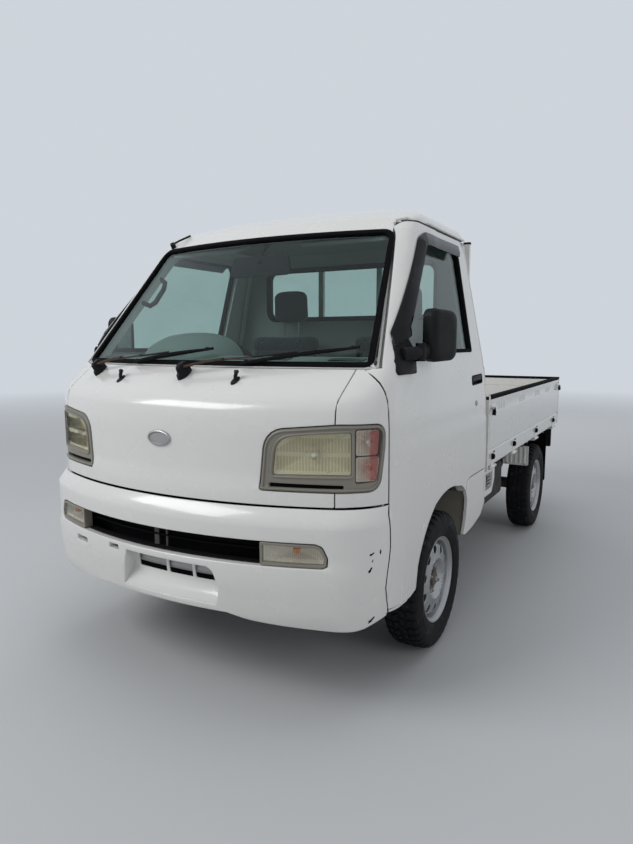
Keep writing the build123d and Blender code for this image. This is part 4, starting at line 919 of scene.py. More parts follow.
def make_doors():
    """Doors with their handles, locks, windows and linings, and a smoked rain visor over each window."""
    jambs, door, seals_and_gap_shade, glass, visor, fittings, lining = [Shape() for _ in range(7)]
    jamb_line = seen_from_side(CAB, DOOR_JAMB, closed=False)
    trim(jambs, CAB, jamb_line, [(-0.018, -0.015), (-0.018, -0.054), (0.018, -0.054), (0.018, -0.046),
        (-0.01, -0.046), (-0.01, -0.015)], closed=False)
    trim(jambs, CAB, jamb_line, [(0.008, -0.045), (0.006, -0.0405), (0.013, -0.0405), (0.018, -0.045),
        (0.016, -0.048)], 1, closed=False)
    make("door_jambs", jambs.with_mirror(), [PAINT, RUBBER], "white_paint")
    outline = seen_from_side(CAB, [*DOOR_FRONT, *arch_points(ARCH_ARCS)[1:-1], *DOOR_REAR, *BELT_CURVE])
    window = seen_from_side(CAB, WINDOW)
    handle = seen_from_side(CAB, HANDLE, 0.02)
    panel(door, CAB, outline, [window, handle], depth=WALL - 0.006, edge=0.003, back=1, grid=0.028)
    trim(seals_and_gap_shade, CAB, window, [(-0.002, -0.006), (-0.002, 0.002), (0.003, 0.004), (0.011, 0.002),
        (0.014, -0.006), (0.014, -0.018), (0.0, -0.018)])
    # A black strip down each door's front edge: painted shade in the gap between the door and the corner
    # panel ahead of it.
    door_gap_shade_line = seen_from_side(CAB, [(-0.513, 0.345), *BELT_CURVE[::-1]], closed=False)
    trim(seals_and_gap_shade, CAB, door_gap_shade_line, [(-0.002, -0.003), (0.002, -0.003), (0.002, -0.034), (-0.002, -0.034)],
        closed=False)
    panel(glass, CAB, shrunk(window, 0.01), depth=0.004, edge=0.001, lift=-0.01)
    trim(visor, CAB, seen_from_side(CAB, VISOR, closed=False), [(-0.014, 0.002), (-0.013, 0.008),
        (0.004, 0.015), (0.024, 0.022), (0.044, 0.024), (0.045, 0.021), (0.024, 0.0195), (0.004, 0.0125)],
        closed=False)
    panel(fittings, CAB, shrunk(handle, -0.004), depth=0.003, edge=0.001, lift=-0.02)
    panel(fittings, CAB, seen_from_side(CAB, GRIP_PLATE), depth=0.01, edge=0.004, lift=0.001)
    trim(fittings, CAB, handle, [(-0.0015, 0.0), (0.0, 0.0012), (0.002, 0.0), (0.002, -0.02),
        (-0.0015, -0.02)])
    button(fittings, CAB, CAB.from_side(0.412, 0.927), 0.927, [(0.012, -0.001), (0.012, 0.002),
        (0.009, 0.004), (0.004, 0.0045), (0.002, 0.002)], 1)

    def inner(a, b, height=0.0):
        return CAB(-a, b, -0.038 - height)

    near, far = -CAB.from_side(0.5, 0.9), -CAB.from_side(-0.38, 0.9)
    crank = -CAB.from_side(-0.02, 0.99)
    pad(lining, inner, near, 0.665, far, 1.085, 0.05, 0.008, edge=0.005, grid=0.05)
    pad(lining, inner, near + 0.14, 0.88, far - 0.2, 0.935, 0.02, 0.052, 1, edge=0.008, grid=0.04)
    pad(lining, inner, near + 0.06, 0.7, far - 0.06, 0.85, 0.03, 0.013, 1, edge=0.004, grid=0.05)
    button(lining, inner, crank, 0.99, [(0.026, 0.006), (0.026, 0.016), (0.018, 0.024), (0.006, 0.026)], 2)
    tube(lining, [inner(crank, 0.99, 0.022), inner(crank - 0.1, 0.95, 0.03)], 0.006, 8, 2)
    button(lining, inner, crank - 0.1, 0.95, [(0.011, 0.026), (0.012, 0.046), (0.009, 0.052)], 2, 12)
    panel(lining, inner, rounded(rect(near + 0.03, 0.995, near + 0.13, 1.035)), depth=0.012, edge=0.004,
        lift=0.014, paint=2)
    for side, hand in SIDES:
        body = hand + "_door"
        for name, shape, materials, slot, *replaces in (
            ("_door_skin", door, [PAINT, PAINT_MATT], "white_paint", body),
            ("_window_seal", seals_and_gap_shade, [RUBBER], "black_plastic"),
            ("_window_glass", glass, [GLASS], "glass", body + "_glass"),
            ("_rain_visor", visor, [SMOKED], "glass"),
            ("_door_fittings", fittings, [BLACK, ZINC], "black_plastic"),
            ("_door_lining", lining, [LINING, TRIM, BLACK], "grey_trim"),
        ):
            make(hand + name, shape.handed(side), materials, slot, *replaces, body=body)


# Fittings on the front
WIPERS = ((-0.48, 1.078, 0.06, 1.158), (0.0, 1.078, 0.586, 1.164))
NOZZLES = ((-0.293, 1.055), (0.225, 1.063))


def make_wipers():
    """Wipers: a rusty arm from each pivot, its spring rod, and a blade in its frame over the rubber edge."""
    shape, nozzles = Shape(), Shape()
    flat = [(-0.009, -0.003), (0.009, -0.003), (0.01, 0.002), (0.006, 0.005), (-0.006, 0.005),
        (-0.01, 0.002)]
    rod = [(a * 0.55, b * 0.7) for a, b in flat]
    blade = [(-0.005, -0.0035), (0.0015, -0.0055), (0.0015, 0.0035), (-0.005, 0.0035)]
    frame = [(-0.0065, 0.0), (0.0065, 0.0), (0.005, 0.006), (-0.005, 0.006)]
    for x0, z0, x1, z1 in WIPERS:
        def along(share, height):
            return CAB.at_front(x0 + (x1 - x0) * share, z0 + (z1 - z0) * share, height)

        button(shape, CAB, CAB.from_front(x0, z0), z0, [(0.019, -0.004), (0.018, 0.014), (0.014, 0.02),
            (0.013, 0.04), (0.009, 0.045)])
        tube(shape, [along(t, 0.03 + 0.012 * sin(pi * t / 0.45)) for t in (-0.03, 0.06, 0.15, 0.26)], flat,
            paint=1)
        tube(shape, [along(t, 0.038) for t in (0.24, 0.34, 0.44)], rod, paint=1)
        tube(shape, [along(t, 0.036 - 0.006 * (t - 0.42)) for t in (0.42, 0.55, 0.68)], 0.0035, 8)
        tube(shape, [along(t, 0.018 + 0.012 * sin(pi * (t - 0.34) / 0.66))
            for t in np.linspace(0.36, 0.99, 13)], frame)
        tube(shape, [along(t, 0.0135) for t in np.linspace(0.34, 1.0, 12)], blade)
        for t in (0.38, 0.52, 0.82, 0.96):
            tube(shape, [along(t - 0.025, 0.014), along(t, 0.022), along(t + 0.025, 0.014)], 0.0045, 6)
    make("wipers_detailed", shape, [BLACK, RUSTY], "black_plastic", "wipers")
    for x, z in NOZZLES:
        q = CAB.from_front(x, z)
        button(nozzles, CAB, q, z, [(0.012, -0.001), (0.012, 0.003), (0.008, 0.005)], steps=14)
        tube(nozzles, [CAB(q, z, 0.0), CAB(q, z + 0.004, 0.014), CAB(q, z + 0.012, 0.026)], 0.0065, 10)
        tube(nozzles, [CAB(q - 0.006, z + 0.01, 0.024), CAB(q + 0.006, z + 0.01, 0.024)], 0.006, 8)
    make("washer_nozzles", nozzles, [BLACK])


def make_emblem():
    """A blank oval plate in its raised ring, low on the front panel."""
    shape = Shape()
    oval_line = [Vector((x, 0.875 + y)) for x, y in oval(0.044, 0.0215, 40)]
    panel(shape, CAB, oval_line, depth=0.004, edge=0.002, lift=0.0035, grid=0.012)
    ring = [(-0.006, -0.001), (-0.005, 0.005), (-0.002, 0.0075), (0.001, 0.0075), (0.003, 0.005),
        (0.003, 0.001)]
    trim(shape, CAB, oval_line, ring, 1, grid=0.01)
    make("front_emblem_plate", shape, [ZINC, SILVER], "silver_steel")


MIRROR_CENTRE = Vector((0.766, -0.2, 1.212))
MIRROR_TURN = radians(14.5)
MIRROR_HALVES = (0.075, 0.092)
MIRROR_FOOT = ((-0.452, 1.084, 0.012), (-0.31, 1.084, 0.012), (-0.303, 1.14, 0.012), (-0.33, 1.24, 0.008),
    (-0.396, 1.196, 0.012))
# columns: how far out, how far in from the head's outline
MIRROR_SHELL = ((-0.02, 0.011), (-0.026, 0.009), (-0.026, 0.004), (-0.0245, 0.001), (0.0, 0.0),
    (0.011, 0.0015), (0.0185, 0.006), (0.0225, 0.015), (0.0245, 0.03))


def make_mirrors():
    """Door mirrors, folded back beside the windows: a foot in the window's corner, an arm, and the head."""
    back = Vector((sin(MIRROR_TURN), cos(MIRROR_TURN), 0))
    out = Vector((cos(MIRROR_TURN), -sin(MIRROR_TURN), 0))
    front = CAB.from_side(MIRROR_FOOT[0][0], 1.1)

    def foot_surface(q, z, height=0.0):
        return CAB(q, z, height - 0.015 * (1 - eased(q, front, front + 0.09)))

    shape = Shape()
    panel(shape, foot_surface, seen_from_side(CAB, MIRROR_FOOT, 0.02), depth=0.024, edge=0.005, lift=0.019,
        grid=0.02)
    sail = [(-0.44, 1.12, 0.006), (-0.33, 1.12, 0.006), (-0.33, 1.255, 0.004)]
    panel(shape, CAB, seen_from_side(CAB, sail, 0.02), depth=0.018, edge=0.002, lift=0.003, grid=0.02)
    tube(shape, [(0.706, -0.392, 1.15), (0.728, -0.345, 1.153), (0.738, -0.305, 1.157),
        (0.745, -0.262, 1.163)], oval(0.014, 0.022, 14))
    tube(shape, [(0.735, -0.312, z) for z in (1.126, 1.132, 1.18, 1.186)], 0.017, 14)
    rows = []
    for depth, inset in MIRROR_SHELL:
        wide, high = [half - inset for half in MIRROR_HALVES]
        ring = rounded([(-wide, -high, 0.036), (wide, -high + 0.006, 0.03), (wide, high - 0.008, 0.034),
            (-wide, high, 0.03)], 6)
        rows.append([MIRROR_CENTRE + back * p.x + Vector((0, 0, p.y)) + out * depth for p in ring])
    first, count = len(shape.points), len(rows[0])
    loft(shape, rows, caps=False)
    shape.faces.append([first + k for k in reversed(range(count))])
    shape.paints.append(1)
    shape.cap(count)
    for side, hand in SIDES:
        make(hand + "_mirror_detailed", shape.handed(side), [BLACK, MIRROR], "black_plastic",
            hand + "_mirror", body=hand + "_door")


# Wheels
RIM_OUTER = (
    (0.168, 0.059), (0.166, 0.062), (0.163, 0.061), (0.16, 0.0555), (0.1565, 0.052), (0.1535, 0.0515),
    (0.151, 0.047), (0.149, 0.036), (0.146, 0.025), (0.14, 0.016), (0.1345, 0.012), (0.134, -0.01),
    (0.138, -0.03), (0.148, -0.045), (0.156, -0.052), (0.163, -0.0605), (0.168, -0.06),
)
RIM_INNER = (
    (0.166, -0.057), (0.16, -0.05), (0.152, -0.042), (0.142, -0.028), (0.138, -0.01), (0.1385, 0.013),
    (0.147, 0.023), (0.152, 0.036), (0.154, 0.046), (0.16, 0.0495), (0.1645, 0.056),
)
# columns: radius, how far out the wheel disc stands
DISC = ((0.028, 0.03), (0.056, 0.03), (0.064, 0.033), (0.07, 0.043), (0.074, 0.051), (0.078, 0.0545),
    (0.083, 0.0545), (0.09, 0.051), (0.102, 0.0485), (0.12, 0.0465), (0.132, 0.043), (0.14, 0.035),
    (0.15, 0.02))
DISC_HOLES = 10
TREAD_PITCHES = 42
TYRE_PROFILE = (
    (0.1555, 0.05), (0.164, 0.0585), (0.17, 0.0615), (0.174, 0.063), (0.176, 0.065), (0.19, 0.0692),
    (0.205, 0.0716), (0.208, 0.073), (0.214, 0.073), (0.216, 0.0718), (0.23, 0.0705), (0.242, 0.068),
    (0.25, 0.064), (0.2565, 0.056), (0.259, 0.045), (0.26, 0.025), (0.2605, 0.0),
)


def tread_radius(across):
    """The tyre's radius under its blocks, at a distance from its middle."""
    return row_at(sorted((along, radius) for radius, along in TYRE_PROFILE[10:]), abs(across))[0]


# columns: from and to across the tyre, share of the pitch, height, skew
TREAD_BLOCKS = ((0.004, 0.024, 0.7, 0.007, 0.22), (0.029, 0.048, 0.62, 0.0068, 0.0))
NUT_PLACE = 0.048 * sqrt(0.5)
SHOULDER_BLOCK = ((0.05, 0.0062), (0.057, 0.0058), (0.0625, 0.005), (0.0665, 0.004), (0.0695, 0.002))


def wheel_pieces():
    """Shapes of one wheel about its own centre, facing +X: the tyre, the rim and the hub."""
    tyre, rim, hub = Shape(), Shape(), Shape()
    centre = (0, 0, 0)
    whole = [*TYRE_PROFILE, *[(r, -a) for r, a in reversed(TYRE_PROFILE[:-1])], (0.157, -0.048),
        (0.162, 0.0), (0.157, 0.048)]
    lathe(tyre, whole, centre, "x", 96, closed=True)
    pitch = 2 * pi / TREAD_PITCHES

    def at(across, angle, height):
        radius = tread_radius(across) + height
        return Vector((across, radius * cos(angle), radius * sin(angle)))

    for number in range(TREAD_PITCHES):
        for hand in (1, -1):
            start = pitch * (number + (0.5 if hand < 0 else 0.0))
            for low, high, share, height, skew in TREAD_BLOCKS:
                lean = skew * pitch
                shift = lean / 2 if number % 2 else 0.0
                rows = []
                for level, inset in ((-0.002, 0.0), (height - 0.001, 0.0006), (height, 0.0022)):
                    half_turn = pitch * share / 2 - inset / 0.26
                    corners = [(low + inset, -half_turn), (high - inset, lean - half_turn),
                        (high - inset, lean + half_turn), (low + inset, half_turn)]
                    rows.append([at(hand * a, start + t - shift, level) for a, t in corners][::hand])
                loft(tyre, rows)
            wide = 0.3 * pitch * (1.0 if number % 2 else 0.8)
            loft(tyre, [[at(hand * across, start + wide * turn, level)
                for turn, level in ((-1, -0.002), (-0.9, height), (0.9, height), (1, -0.002))][::-hand]
                for across, height in SHOULDER_BLOCK])
    lathe(rim, RIM_OUTER + RIM_INNER, centre, "x", 72, closed=True)

    def disc(a, b, height=0.0):
        radius = max(DISC[0][0], min(DISC[-1][0], hypot(a, b)))
        return Vector((row_at(DISC, radius)[0] + height, a, b))

    holes = [circle(0.0175, 18, a, b) for a, b in ring_of(0.12, DISC_HOLES)]
    panel(rim, disc, circle(0.1455, 90), [*holes, circle(0.0295, 30)], depth=0.004, edge=0.0015,
        grid=0.0085)
    for hole in holes:
        trim(rim, disc, hole, [(-0.0035, -0.001), (-0.0015, 0.0012), (0.0002, -0.0005), (0.0002, -0.003)],
            grid=0.008)
    lathe(hub, [(0.06, 0.0305), (0.056, 0.0315), (0.033, 0.0315), (0.029, 0.033), (0.0285, 0.043),
        (0.026, 0.047), (0.015, 0.0485), (0.0005, 0.049)], centre, "x", 36)
    for a, b in ((1, 1), (-1, 1), (-1, -1), (1, -1)):
        a, b = a * NUT_PLACE, b * NUT_PLACE
        bolt(hub, disc, a, b, 0.0105, 0.014, 1)
        button(hub, disc, a, b, [(0.0055, 0.012), (0.0055, 0.02), (0.0035, 0.021)], 1, 10)
    bolt(hub, disc, 0.0, 0.0, 0.01, 0.024, 1)
    lathe(hub, [(0.1045, 0.006), (0.1045, 0.016), (0.098, 0.021), (0.06, 0.022), (0.05, 0.024)], centre,
        "x", 36, 2)
    return tyre, rim, hub


# columns: finishes, kind of piece, material slot
WHEEL_FINISHES = (
    ([TREAD], "tyre", "tyre"),
    ([SILVER], "rim", "silver_steel"),
    ([CAST, ZINC, CAST], "hub", "cast_dark"),
)


def make_wheels():
    """Four wheels: a treaded tyre, a pierced rim with a rusty hub and nuts."""
    pieces = list(zip(wheel_pieces(), WHEEL_FINISHES))
    for side, hand in SIDES:
        for end, y, spin in (("front", 0.0, 0.35), ("rear", WHEELBASE, 1.9)):
            turn = Matrix.Rotation(spin, 4, "X")
            for shape, (materials, kind, slot) in pieces:
                moved = Shape()
                moved.add([(turn @ p) + Vector((WHEEL_X, 0, AXLE_Z)) for p in shape.points], shape.faces,
                    shape.paints)
                moved = moved.handed(side)
                moved.points = [p + Vector((0, y, 0)) for p in moved.points]
                wheel = hand + "_" + end
                make(wheel + "_" + kind + "_detailed", moved, materials, slot,
                    *([wheel + "_" + kind] if kind != "hub" else []), body=wheel + "_wheel", sharp=38)


# Roof and back
# columns: height, half_width, corner_x, corner_front, front, rear
ROOF_SECTIONS = (
    (1.64, 0.6, 0.551, -0.051, -0.131, 0.5995), (1.655, 0.597, 0.548, -0.035, -0.115, 0.598),
    (1.678, 0.58, 0.52, 0.01, -0.062, 0.596), (1.7, 0.546, 0.476, 0.07, 0.004, 0.592),
    (1.722, 0.49, 0.412, 0.145, 0.09, 0.582), (1.742, 0.415, 0.33, 0.222, 0.178, 0.564),
    (1.762, 0.3, 0.225, 0.305, 0.28, 0.525), (1.779, 0.15, 0.105, 0.395, 0.385, 0.46),
)
ROOF_STEPS = (14, 8, 16, 6, 16)
GUTTER = ((-0.11, 1.622), (-0.075, 1.637), (-0.04, 1.643), (0.1, 1.645), (0.3, 1.645), (0.5, 1.645),
    (0.57, 1.644))


def roof_ring(row):
    """One level of the roof, as the same number of points on each stretch of its outline."""
    height, half, corner_x, corner_front, front, rear = row
    level = (half, corner_x, corner_front, front)
    form = Form(((height, *level), (height + 0.01, *level)), 0.0, lambda q, z: 0.0)
    half, bow, turn, radius, side = form.section(height)[:5]
    corner = min(0.06, half * 0.3)
    stretches = (bow * turn, radius * (pi / 2 - turn), rear - corner - side)
    points = []
    start = 0.0
    for length, steps in zip(stretches, ROOF_STEPS):
        points += [form.flat_point(start + length * k / steps, height) for k in range(steps)]
        start += length
    for k in range(ROOF_STEPS[3]):
        lean = pi / 2 * k / ROOF_STEPS[3]
        points.append(Vector((half - corner + corner * cos(lean),
            rear - corner + corner * sin(lean), height)))
    points += [Vector(((half - corner) * (1 - k / ROOF_STEPS[4]), rear, height))
        for k in range(ROOF_STEPS[4] + 1)]
    return points + [Vector((-p.x, p.y, p.z)) for p in reversed(points[1:-1])]


def smooth_rows(rows, steps):
    """Rows of a table with values between them on a smooth curve."""
    out = []
    for k in range(len(rows) - 1):
        a, b, c, d = [rows[min(max(n, 0), len(rows) - 1)] for n in (k - 1, k, k + 1, k + 2)]
        for t in [step / steps for step in range(steps)]:
            out.append([0.5 * (2 * q + (r - p) * t + (2 * p - 5 * q + 4 * r - s) * t * t
                + (3 * q - p - 3 * r + s) * t ** 3) for p, q, r, s in zip(a, b, c, d)])
    return out + [list(rows[-1])]


def make_roof():
    """The roof skin with its lining, rain gutters along the doors, and the antenna over the pillar."""
    levels = smooth_rows(ROOF_SECTIONS, 3)
    outer = [roof_ring(row) for row in levels]
    crown = sum(outer[-1], Vector()) / len(outer[-1])
    outer += [[crown.lerp(p, share) + Vector((0, 0, 0.001 * (1 - share))) for p in outer[-1]]
        for share in (0.6, 0.2)]
    shape, joint, gutter, mast = [Shape() for _ in range(4)]
    loft(shape, outer, caps=False)
    shape.cap(len(outer[-1]))
    middle = Vector((0, 0.25, 1.56))
    lining = [[middle + (p - middle) * 0.965 for p in row] for row in outer[::-2]]
    loft(shape, lining, 1, caps=False)
    loft(shape, [lining[-1], outer[0]], 1, caps=False)
    make("roof_skin", shape, [PAINT, LINING], "white_paint", "roof_panel", sharp=60)
    seam = [(-0.555, 1.632), (0.555, 1.632), (0.55, 1.648), (-0.55, 1.648)]
    panel(joint, CAB, seen_from_front(CAB, seam), depth=0.003, edge=0.0005, lift=-0.0008)
    make("roof_joint", joint, [PAINT])
    tube(gutter, [CAB(CAB.from_side(y, z), z, 0.003) for y, z in GUTTER], 0.005, 8)
    make("rain_gutters", gutter.with_mirror(), [PAINT])
    base = CAB.at_front(-0.515, 1.612, 0.004)
    tube(mast, [base + Vector(step) for step in ((0, 0, 0), (0.004, -0.01, 0.01), (0.03, 0.008, 0.026),
        (0.066, 0.034, 0.046))], 0.0045, 8)
    tube(mast, [base - Vector((0.004, 0, 0.006)), base + Vector((0.0, -0.014, 0.01))], 0.011, 12)
    make("antenna", mast, [BLACK])


def make_back():
    """The back wall with its pressed ribs and vents, and the rear window in its rubber."""
    shape, rubber, glass = Shape(), Shape(), Shape()
    back = flat_surface((0, CAB_REAR, 0), *BACK)
    right = [Vector((CAB.section(z)[0] - PILLAR_BACK - 0.002, z))
        for z in np.linspace(0.482, ROOF_EDGE, 12)]
    window = rounded(REAR_WINDOW)
    panel(shape, back, both_sides(right), [window], depth=0.024, edge=0.003, back=1)
    for z in (0.62, 0.72, 0.82, 0.92, 1.02, 1.12, 1.22):
        pad(shape, back, -0.58, z, 0.58, z + 0.035, radius=0.017, height=0.004)
    for x in (-0.52, 0.52):
        for k in range(5):
            pad(shape, back, x - 0.035, 1.36 + 0.03 * k, x + 0.035, 1.372 + 0.03 * k,
                0.005, 0.003, 2, 0.001)
    make("back_skin", shape, [PAINT, LINING, BLACK], "white_paint", "cab_back_panel")
    trim(rubber, back, window, [(-0.01, -0.002), (-0.009, 0.005), (0.002, 0.008), (0.014, 0.005),
        (0.016, -0.006), (0.0, -0.026), (-0.008, -0.026)])
    make("rear_window_rubber", rubber, [RUBBER], "black_plastic")
    panel(glass, back, shrunk(window, 0.008), depth=0.005, edge=0.001, lift=-0.006)
    make("rear_window_glass", glass, [GLASS], "glass", "rear_window")


# Bumper and lamps
LAMP_IN_BUMPER = ((0.392, 0.507, 0.004), (0.578, 0.508, 0.008), (0.59, 0.513, 0.008), (0.592, 0.538, 0.02),
    (0.578, 0.571, 0.02), (0.558, 0.5785, 0.03), (0.392, 0.579, 0.004))
SLOT_AND_LAMPS = ((0.386, 0.504, 0.004), (0.579, 0.505, 0.008), (0.593, 0.511, 0.008), (0.595, 0.538, 0.02),
    (0.58, 0.574, 0.02), (0.559, 0.582, 0.03), (0.386, 0.5815, 0.004))
# columns: distance round, height of the bumper's lower edge
BUMPER_LOW = ((0.0, 0.33), (0.27, 0.329), (0.34, 0.313), (0.448, 0.304), (0.65, 0.293), (0.7, 0.293),
    (0.75, 0.306), (0.79, 0.319))
PLATE_RECESS = ((-0.166, 0.35, 0.004), (0.233, 0.35, 0.01), (0.249, 0.414, 0.04), (0.228, 0.48, 0.035),
    (-0.132, 0.482, 0.006))
PLATE_OPENINGS = ((-0.118, 0.014), (0.026, 0.126), (0.138, 0.214))
BUMPER_SLOTS = ((-0.446, 0.456, -0.372, 0.474), (-0.224, 0.473, -0.174, 0.49))


def bumper_rect(*corners):
    return seen_from_front(BUMPER, rect(*corners))


def recess_surface(q, z, height=0.0):
    """The plate recess: its floor slopes in from the bumper's lower edge to a back wall."""
    return BUMPER(q, z, height - 0.04 * eased(z, 0.35, 0.408))


def make_bumper():
    """The front bumper with its openings, the plate recess and the bar behind it, and the grille slats; its
    inner face and a sheet behind it are near-black painted shade.
    """
    shape, shade_sheet, beam, slats = [Shape() for _ in range(4)]
    right = seen_from_side(BUMPER, [(-0.5185, 0.32), (-0.5185, 0.6835)], 0.02, closed=False)
    reach = right[0].x - 0.01
    low = [Vector((q, row_at(BUMPER_LOW, abs(q))[0])) for q in np.linspace(-reach, reach, 55)]
    slot = list(SLOT_AND_LAMPS) + [(-x, z, r) for x, z, r in reversed(SLOT_AND_LAMPS)]
    recess = seen_from_front(BUMPER, PLATE_RECESS, 0.015)
    holes = [seen_from_front(BUMPER, slot), recess]
    holes += [bumper_rect(*corners, 0.004) for corners in BUMPER_SLOTS]
    # The bumper's inner face is near-black painted shade.
    panel(shape, BUMPER, both_sides(right) + low, holes, depth=0.024, edge=0.004, back=1, grid=0.026)
    openings = [bumper_rect(x0, 0.409, x1, 0.464, 0.006) for x0, x1 in PLATE_OPENINGS]
    panel(shape, recess_surface, shrunk(recess, -0.005), openings, depth=0.004, edge=0.0015, lift=-0.004,
        grid=0.02)
    trim(shape, BUMPER, recess, [(-0.005, -0.003), (0.0005, -0.003), (0.0005, -0.044), (-0.005, -0.044)],
        grid=0.02)
    make("bumper_skin", shape, [PAINT, BLACK_AND_SHADE], "white_paint", "front_bumper")
    # A near-black sheet behind the bumper's openings: painted shade in the space behind them.
    panel(shade_sheet, BUMPER, rounded(rect(-0.8, 0.345, 0.8, 0.665)), depth=0.003, grid=0.05, lift=-0.1)
    make("bumper_shade_sheet", shade_sheet, [BLACK_AND_SHADE])
    tube(beam, [BUMPER.at_front(x, 0.44, -0.074) for x in np.linspace(-0.45, 0.45, 13)], 0.022, 14)
    make("bumper_bar", beam, [ZINC])
    for z0, z1, lift in ((0.506, 0.51, -0.016), (0.541, 0.545, -0.04), (0.575, 0.58, -0.03)):
        panel(slats, BUMPER, bumper_rect(-0.386, z0, 0.386, z1, 0.001), depth=0.02, edge=0.001,
            lift=lift)
    for x0, x1 in ((-0.042, -0.02), (0.012, 0.02)):
        panel(slats, BUMPER, bumper_rect(x0, 0.506, x1, 0.58, 0.003), depth=0.004, edge=0.001,
            lift=-0.046, paint=1)
    make("grille_slats", slats, [BLACK_AND_SHADE, CAST], "black_plastic", "front_grille")


# columns: distance round, height, length, width and lean of each chip in the bumper's paint
CHIPS = ((0.75, 0.546, 0.02, 0.007, 20), (0.744, 0.496, 0.022, 0.009, 50), (0.752, 0.524, 0.009, 0.004, 60),
    (0.742, 0.326, 0.034, 0.008, 34), (0.783, 0.548, 0.006, 0.018, 0))
CHIP = ((-0.5, -0.2), (-0.15, -0.5), (0.2, -0.25), (0.5, -0.1), (0.35, 0.4), (0.0, 0.25), (-0.3, 0.5))
BUMPER_SEAM_SHADOW_LINE = ((0.803, 0.68), (0.814, 0.662), (0.824, 0.64), (0.827, 0.609), (0.829, 0.553),
    (0.823, 0.512), (0.814, 0.469), (0.807, 0.423), (0.811, 0.378), (0.819, 0.334), (0.821, 0.324))


def make_chips():
    """Dark chips where the paint is scraped off the bumper's left corner, and a painted shadow line along
    the seam beside each door.
    """
    shape, seams = Shape(), Shape()
    for q, z, long, wide, lean in CHIPS:
        turn = radians(lean)
        along, over = Vector((cos(turn), sin(turn))), Vector((-sin(turn), cos(turn)))
        corners = [Vector((q, z)) + along * long * a + over * wide * b for a, b in CHIP]
        panel(shape, BUMPER, corners, depth=0.001, edge=0.0003, grid=0.01, lift=0.0006)
    make("bumper_chips", shape, [BLACK_AND_SHADE])
    # A near-black strip along the bumper's edge: painted shadow in the seam beside each door.
    line = dense(BUMPER_SEAM_SHADOW_LINE, 0.02, closed=False)
    trim(seams, BUMPER, line, [(-0.002, 0.0005), (0.002, 0.0005), (0.002, -0.002), (-0.002, -0.002)],
        closed=False)
    make("bumper_seam_shadows", seams.with_mirror(), [BLACK_AND_SHADE])


def bowl(shape, surface, loop, depth, lift=-0.012, rings=8):
    """A reflector that deepens from a loop towards its middle."""
    middle = sum(loop, Vector((0, 0))) / len(loop)
    rows = []
    for k in range(rings + 1):
        share = 1 - 0.88 * k / rings
        rows.append([surface(*(middle + (p - middle) * share), lift - depth * (1 - share ** 2))
            for p in loop])
    loft(shape, rows, caps=False)
    shape.cap(len(loop))


def lamp_bulb(shape, place, radius, length, paint):
    profile = ((0.0005, -1.0), (radius * 0.6, -0.9), (radius, -0.55), (radius * 0.8, 0.0),
        (radius * 0.55, 0.3))
    lathe(shape, [(wide, along * length) for wide, along in profile], place, "y", 16, paint)


def make_headlamps():
    """Headlamps: a stepped bezel, a yellowed lens with flutes over its reflector, and two side lamps."""
    outline, main, side, slot = [rounded(corners) for corners in (LAMP, MAIN_LENS, SIDE_LENS, LAMP_SLOT)]
    bezel, lens, inner = Shape(), Shape(), Shape()
    panel(bezel, CAB, shrunk(outline, 0.0), [main, side, slot], depth=0.028, edge=0.004, lift=-0.002,
        grid=0.02)
    ridge = [(0.0, -0.004), (0.001, 0.001), (0.004, 0.0025), (0.007, 0.001), (0.008, -0.006)]
    trim(bezel, CAB, shrunk(main, -0.009), ridge)
    trim(bezel, CAB, shrunk(outline, 0.003), ridge)
    # A near-black plate at the back of the slot below the lamp: painted shade in the slot.
    panel(inner, CAB, shrunk(slot, -0.004), depth=0.002, edge=0.0005, lift=-0.018, paint=2)
    panel(lens, CAB, shrunk(main, -0.002), depth=0.003, edge=0.001, lift=-0.006, grid=0.02)
    panel(lens, CAB, shrunk(side, -0.002), depth=0.003, edge=0.001, lift=-0.001, paint=1, grid=0.02)
    for k in range(23):
        q = 0.43 + 0.01 * k
        top = 0.9 if q > 0.5 else 0.866 + 0.6 * (q - 0.43)
        for z0, z1 in ((0.799, 0.843), (0.856, top)):
            pad(lens, CAB, q, z0, q + 0.0055, z1, 0.002, -0.0052, edge=0.0015)
    for k in range(5):
        q = 0.682 + 0.0085 * k
        for z0, z1 in ((0.772, 0.838), (0.852, 0.92)):
            pad(lens, CAB, q, z0, q + 0.0045, z1, 0.002, 0.0002, paint=1, edge=0.0015)
    panel(lens, CAB, rounded(RED_EDGE), depth=0.0015, edge=0.0005, lift=-0.0045, paint=2, grid=0.02)
    bowl(inner, CAB, shrunk(main, 0.001), 0.036)
    middle = (SIDE_LENS[0][0] + SIDE_LENS[2][0]) / 2 + 0.012
    for z0, z1, paint in ((0.765, 0.842, 1), (0.846, 0.924, 3)):
        loop = rounded([(0.677, z0, 0.006), (0.753, z0, 0.012), (0.76, z1, 0.012), (0.677, z1, 0.006)])
        bowl(inner, CAB, loop, 0.03, lift=-0.008)
        lamp_bulb(inner, CAB(middle, (z0 + z1) / 2, -0.024), 0.01, 0.02, paint)
    lamp_bulb(inner, CAB(0.548, 0.845, -0.03), 0.014, 0.024, 3)
    make("headlamp_bezels", bezel.with_mirror(), [BEZEL], "grey_trim")
    make("headlamp_lenses", lens.with_mirror(), [LENS, CLEAR, FADED_RED], "lamp_lens", "headlights")
    make("headlamp_insides", inner.with_mirror(), [BOWL, PINK, BLACK_AND_SHADE, BULB])


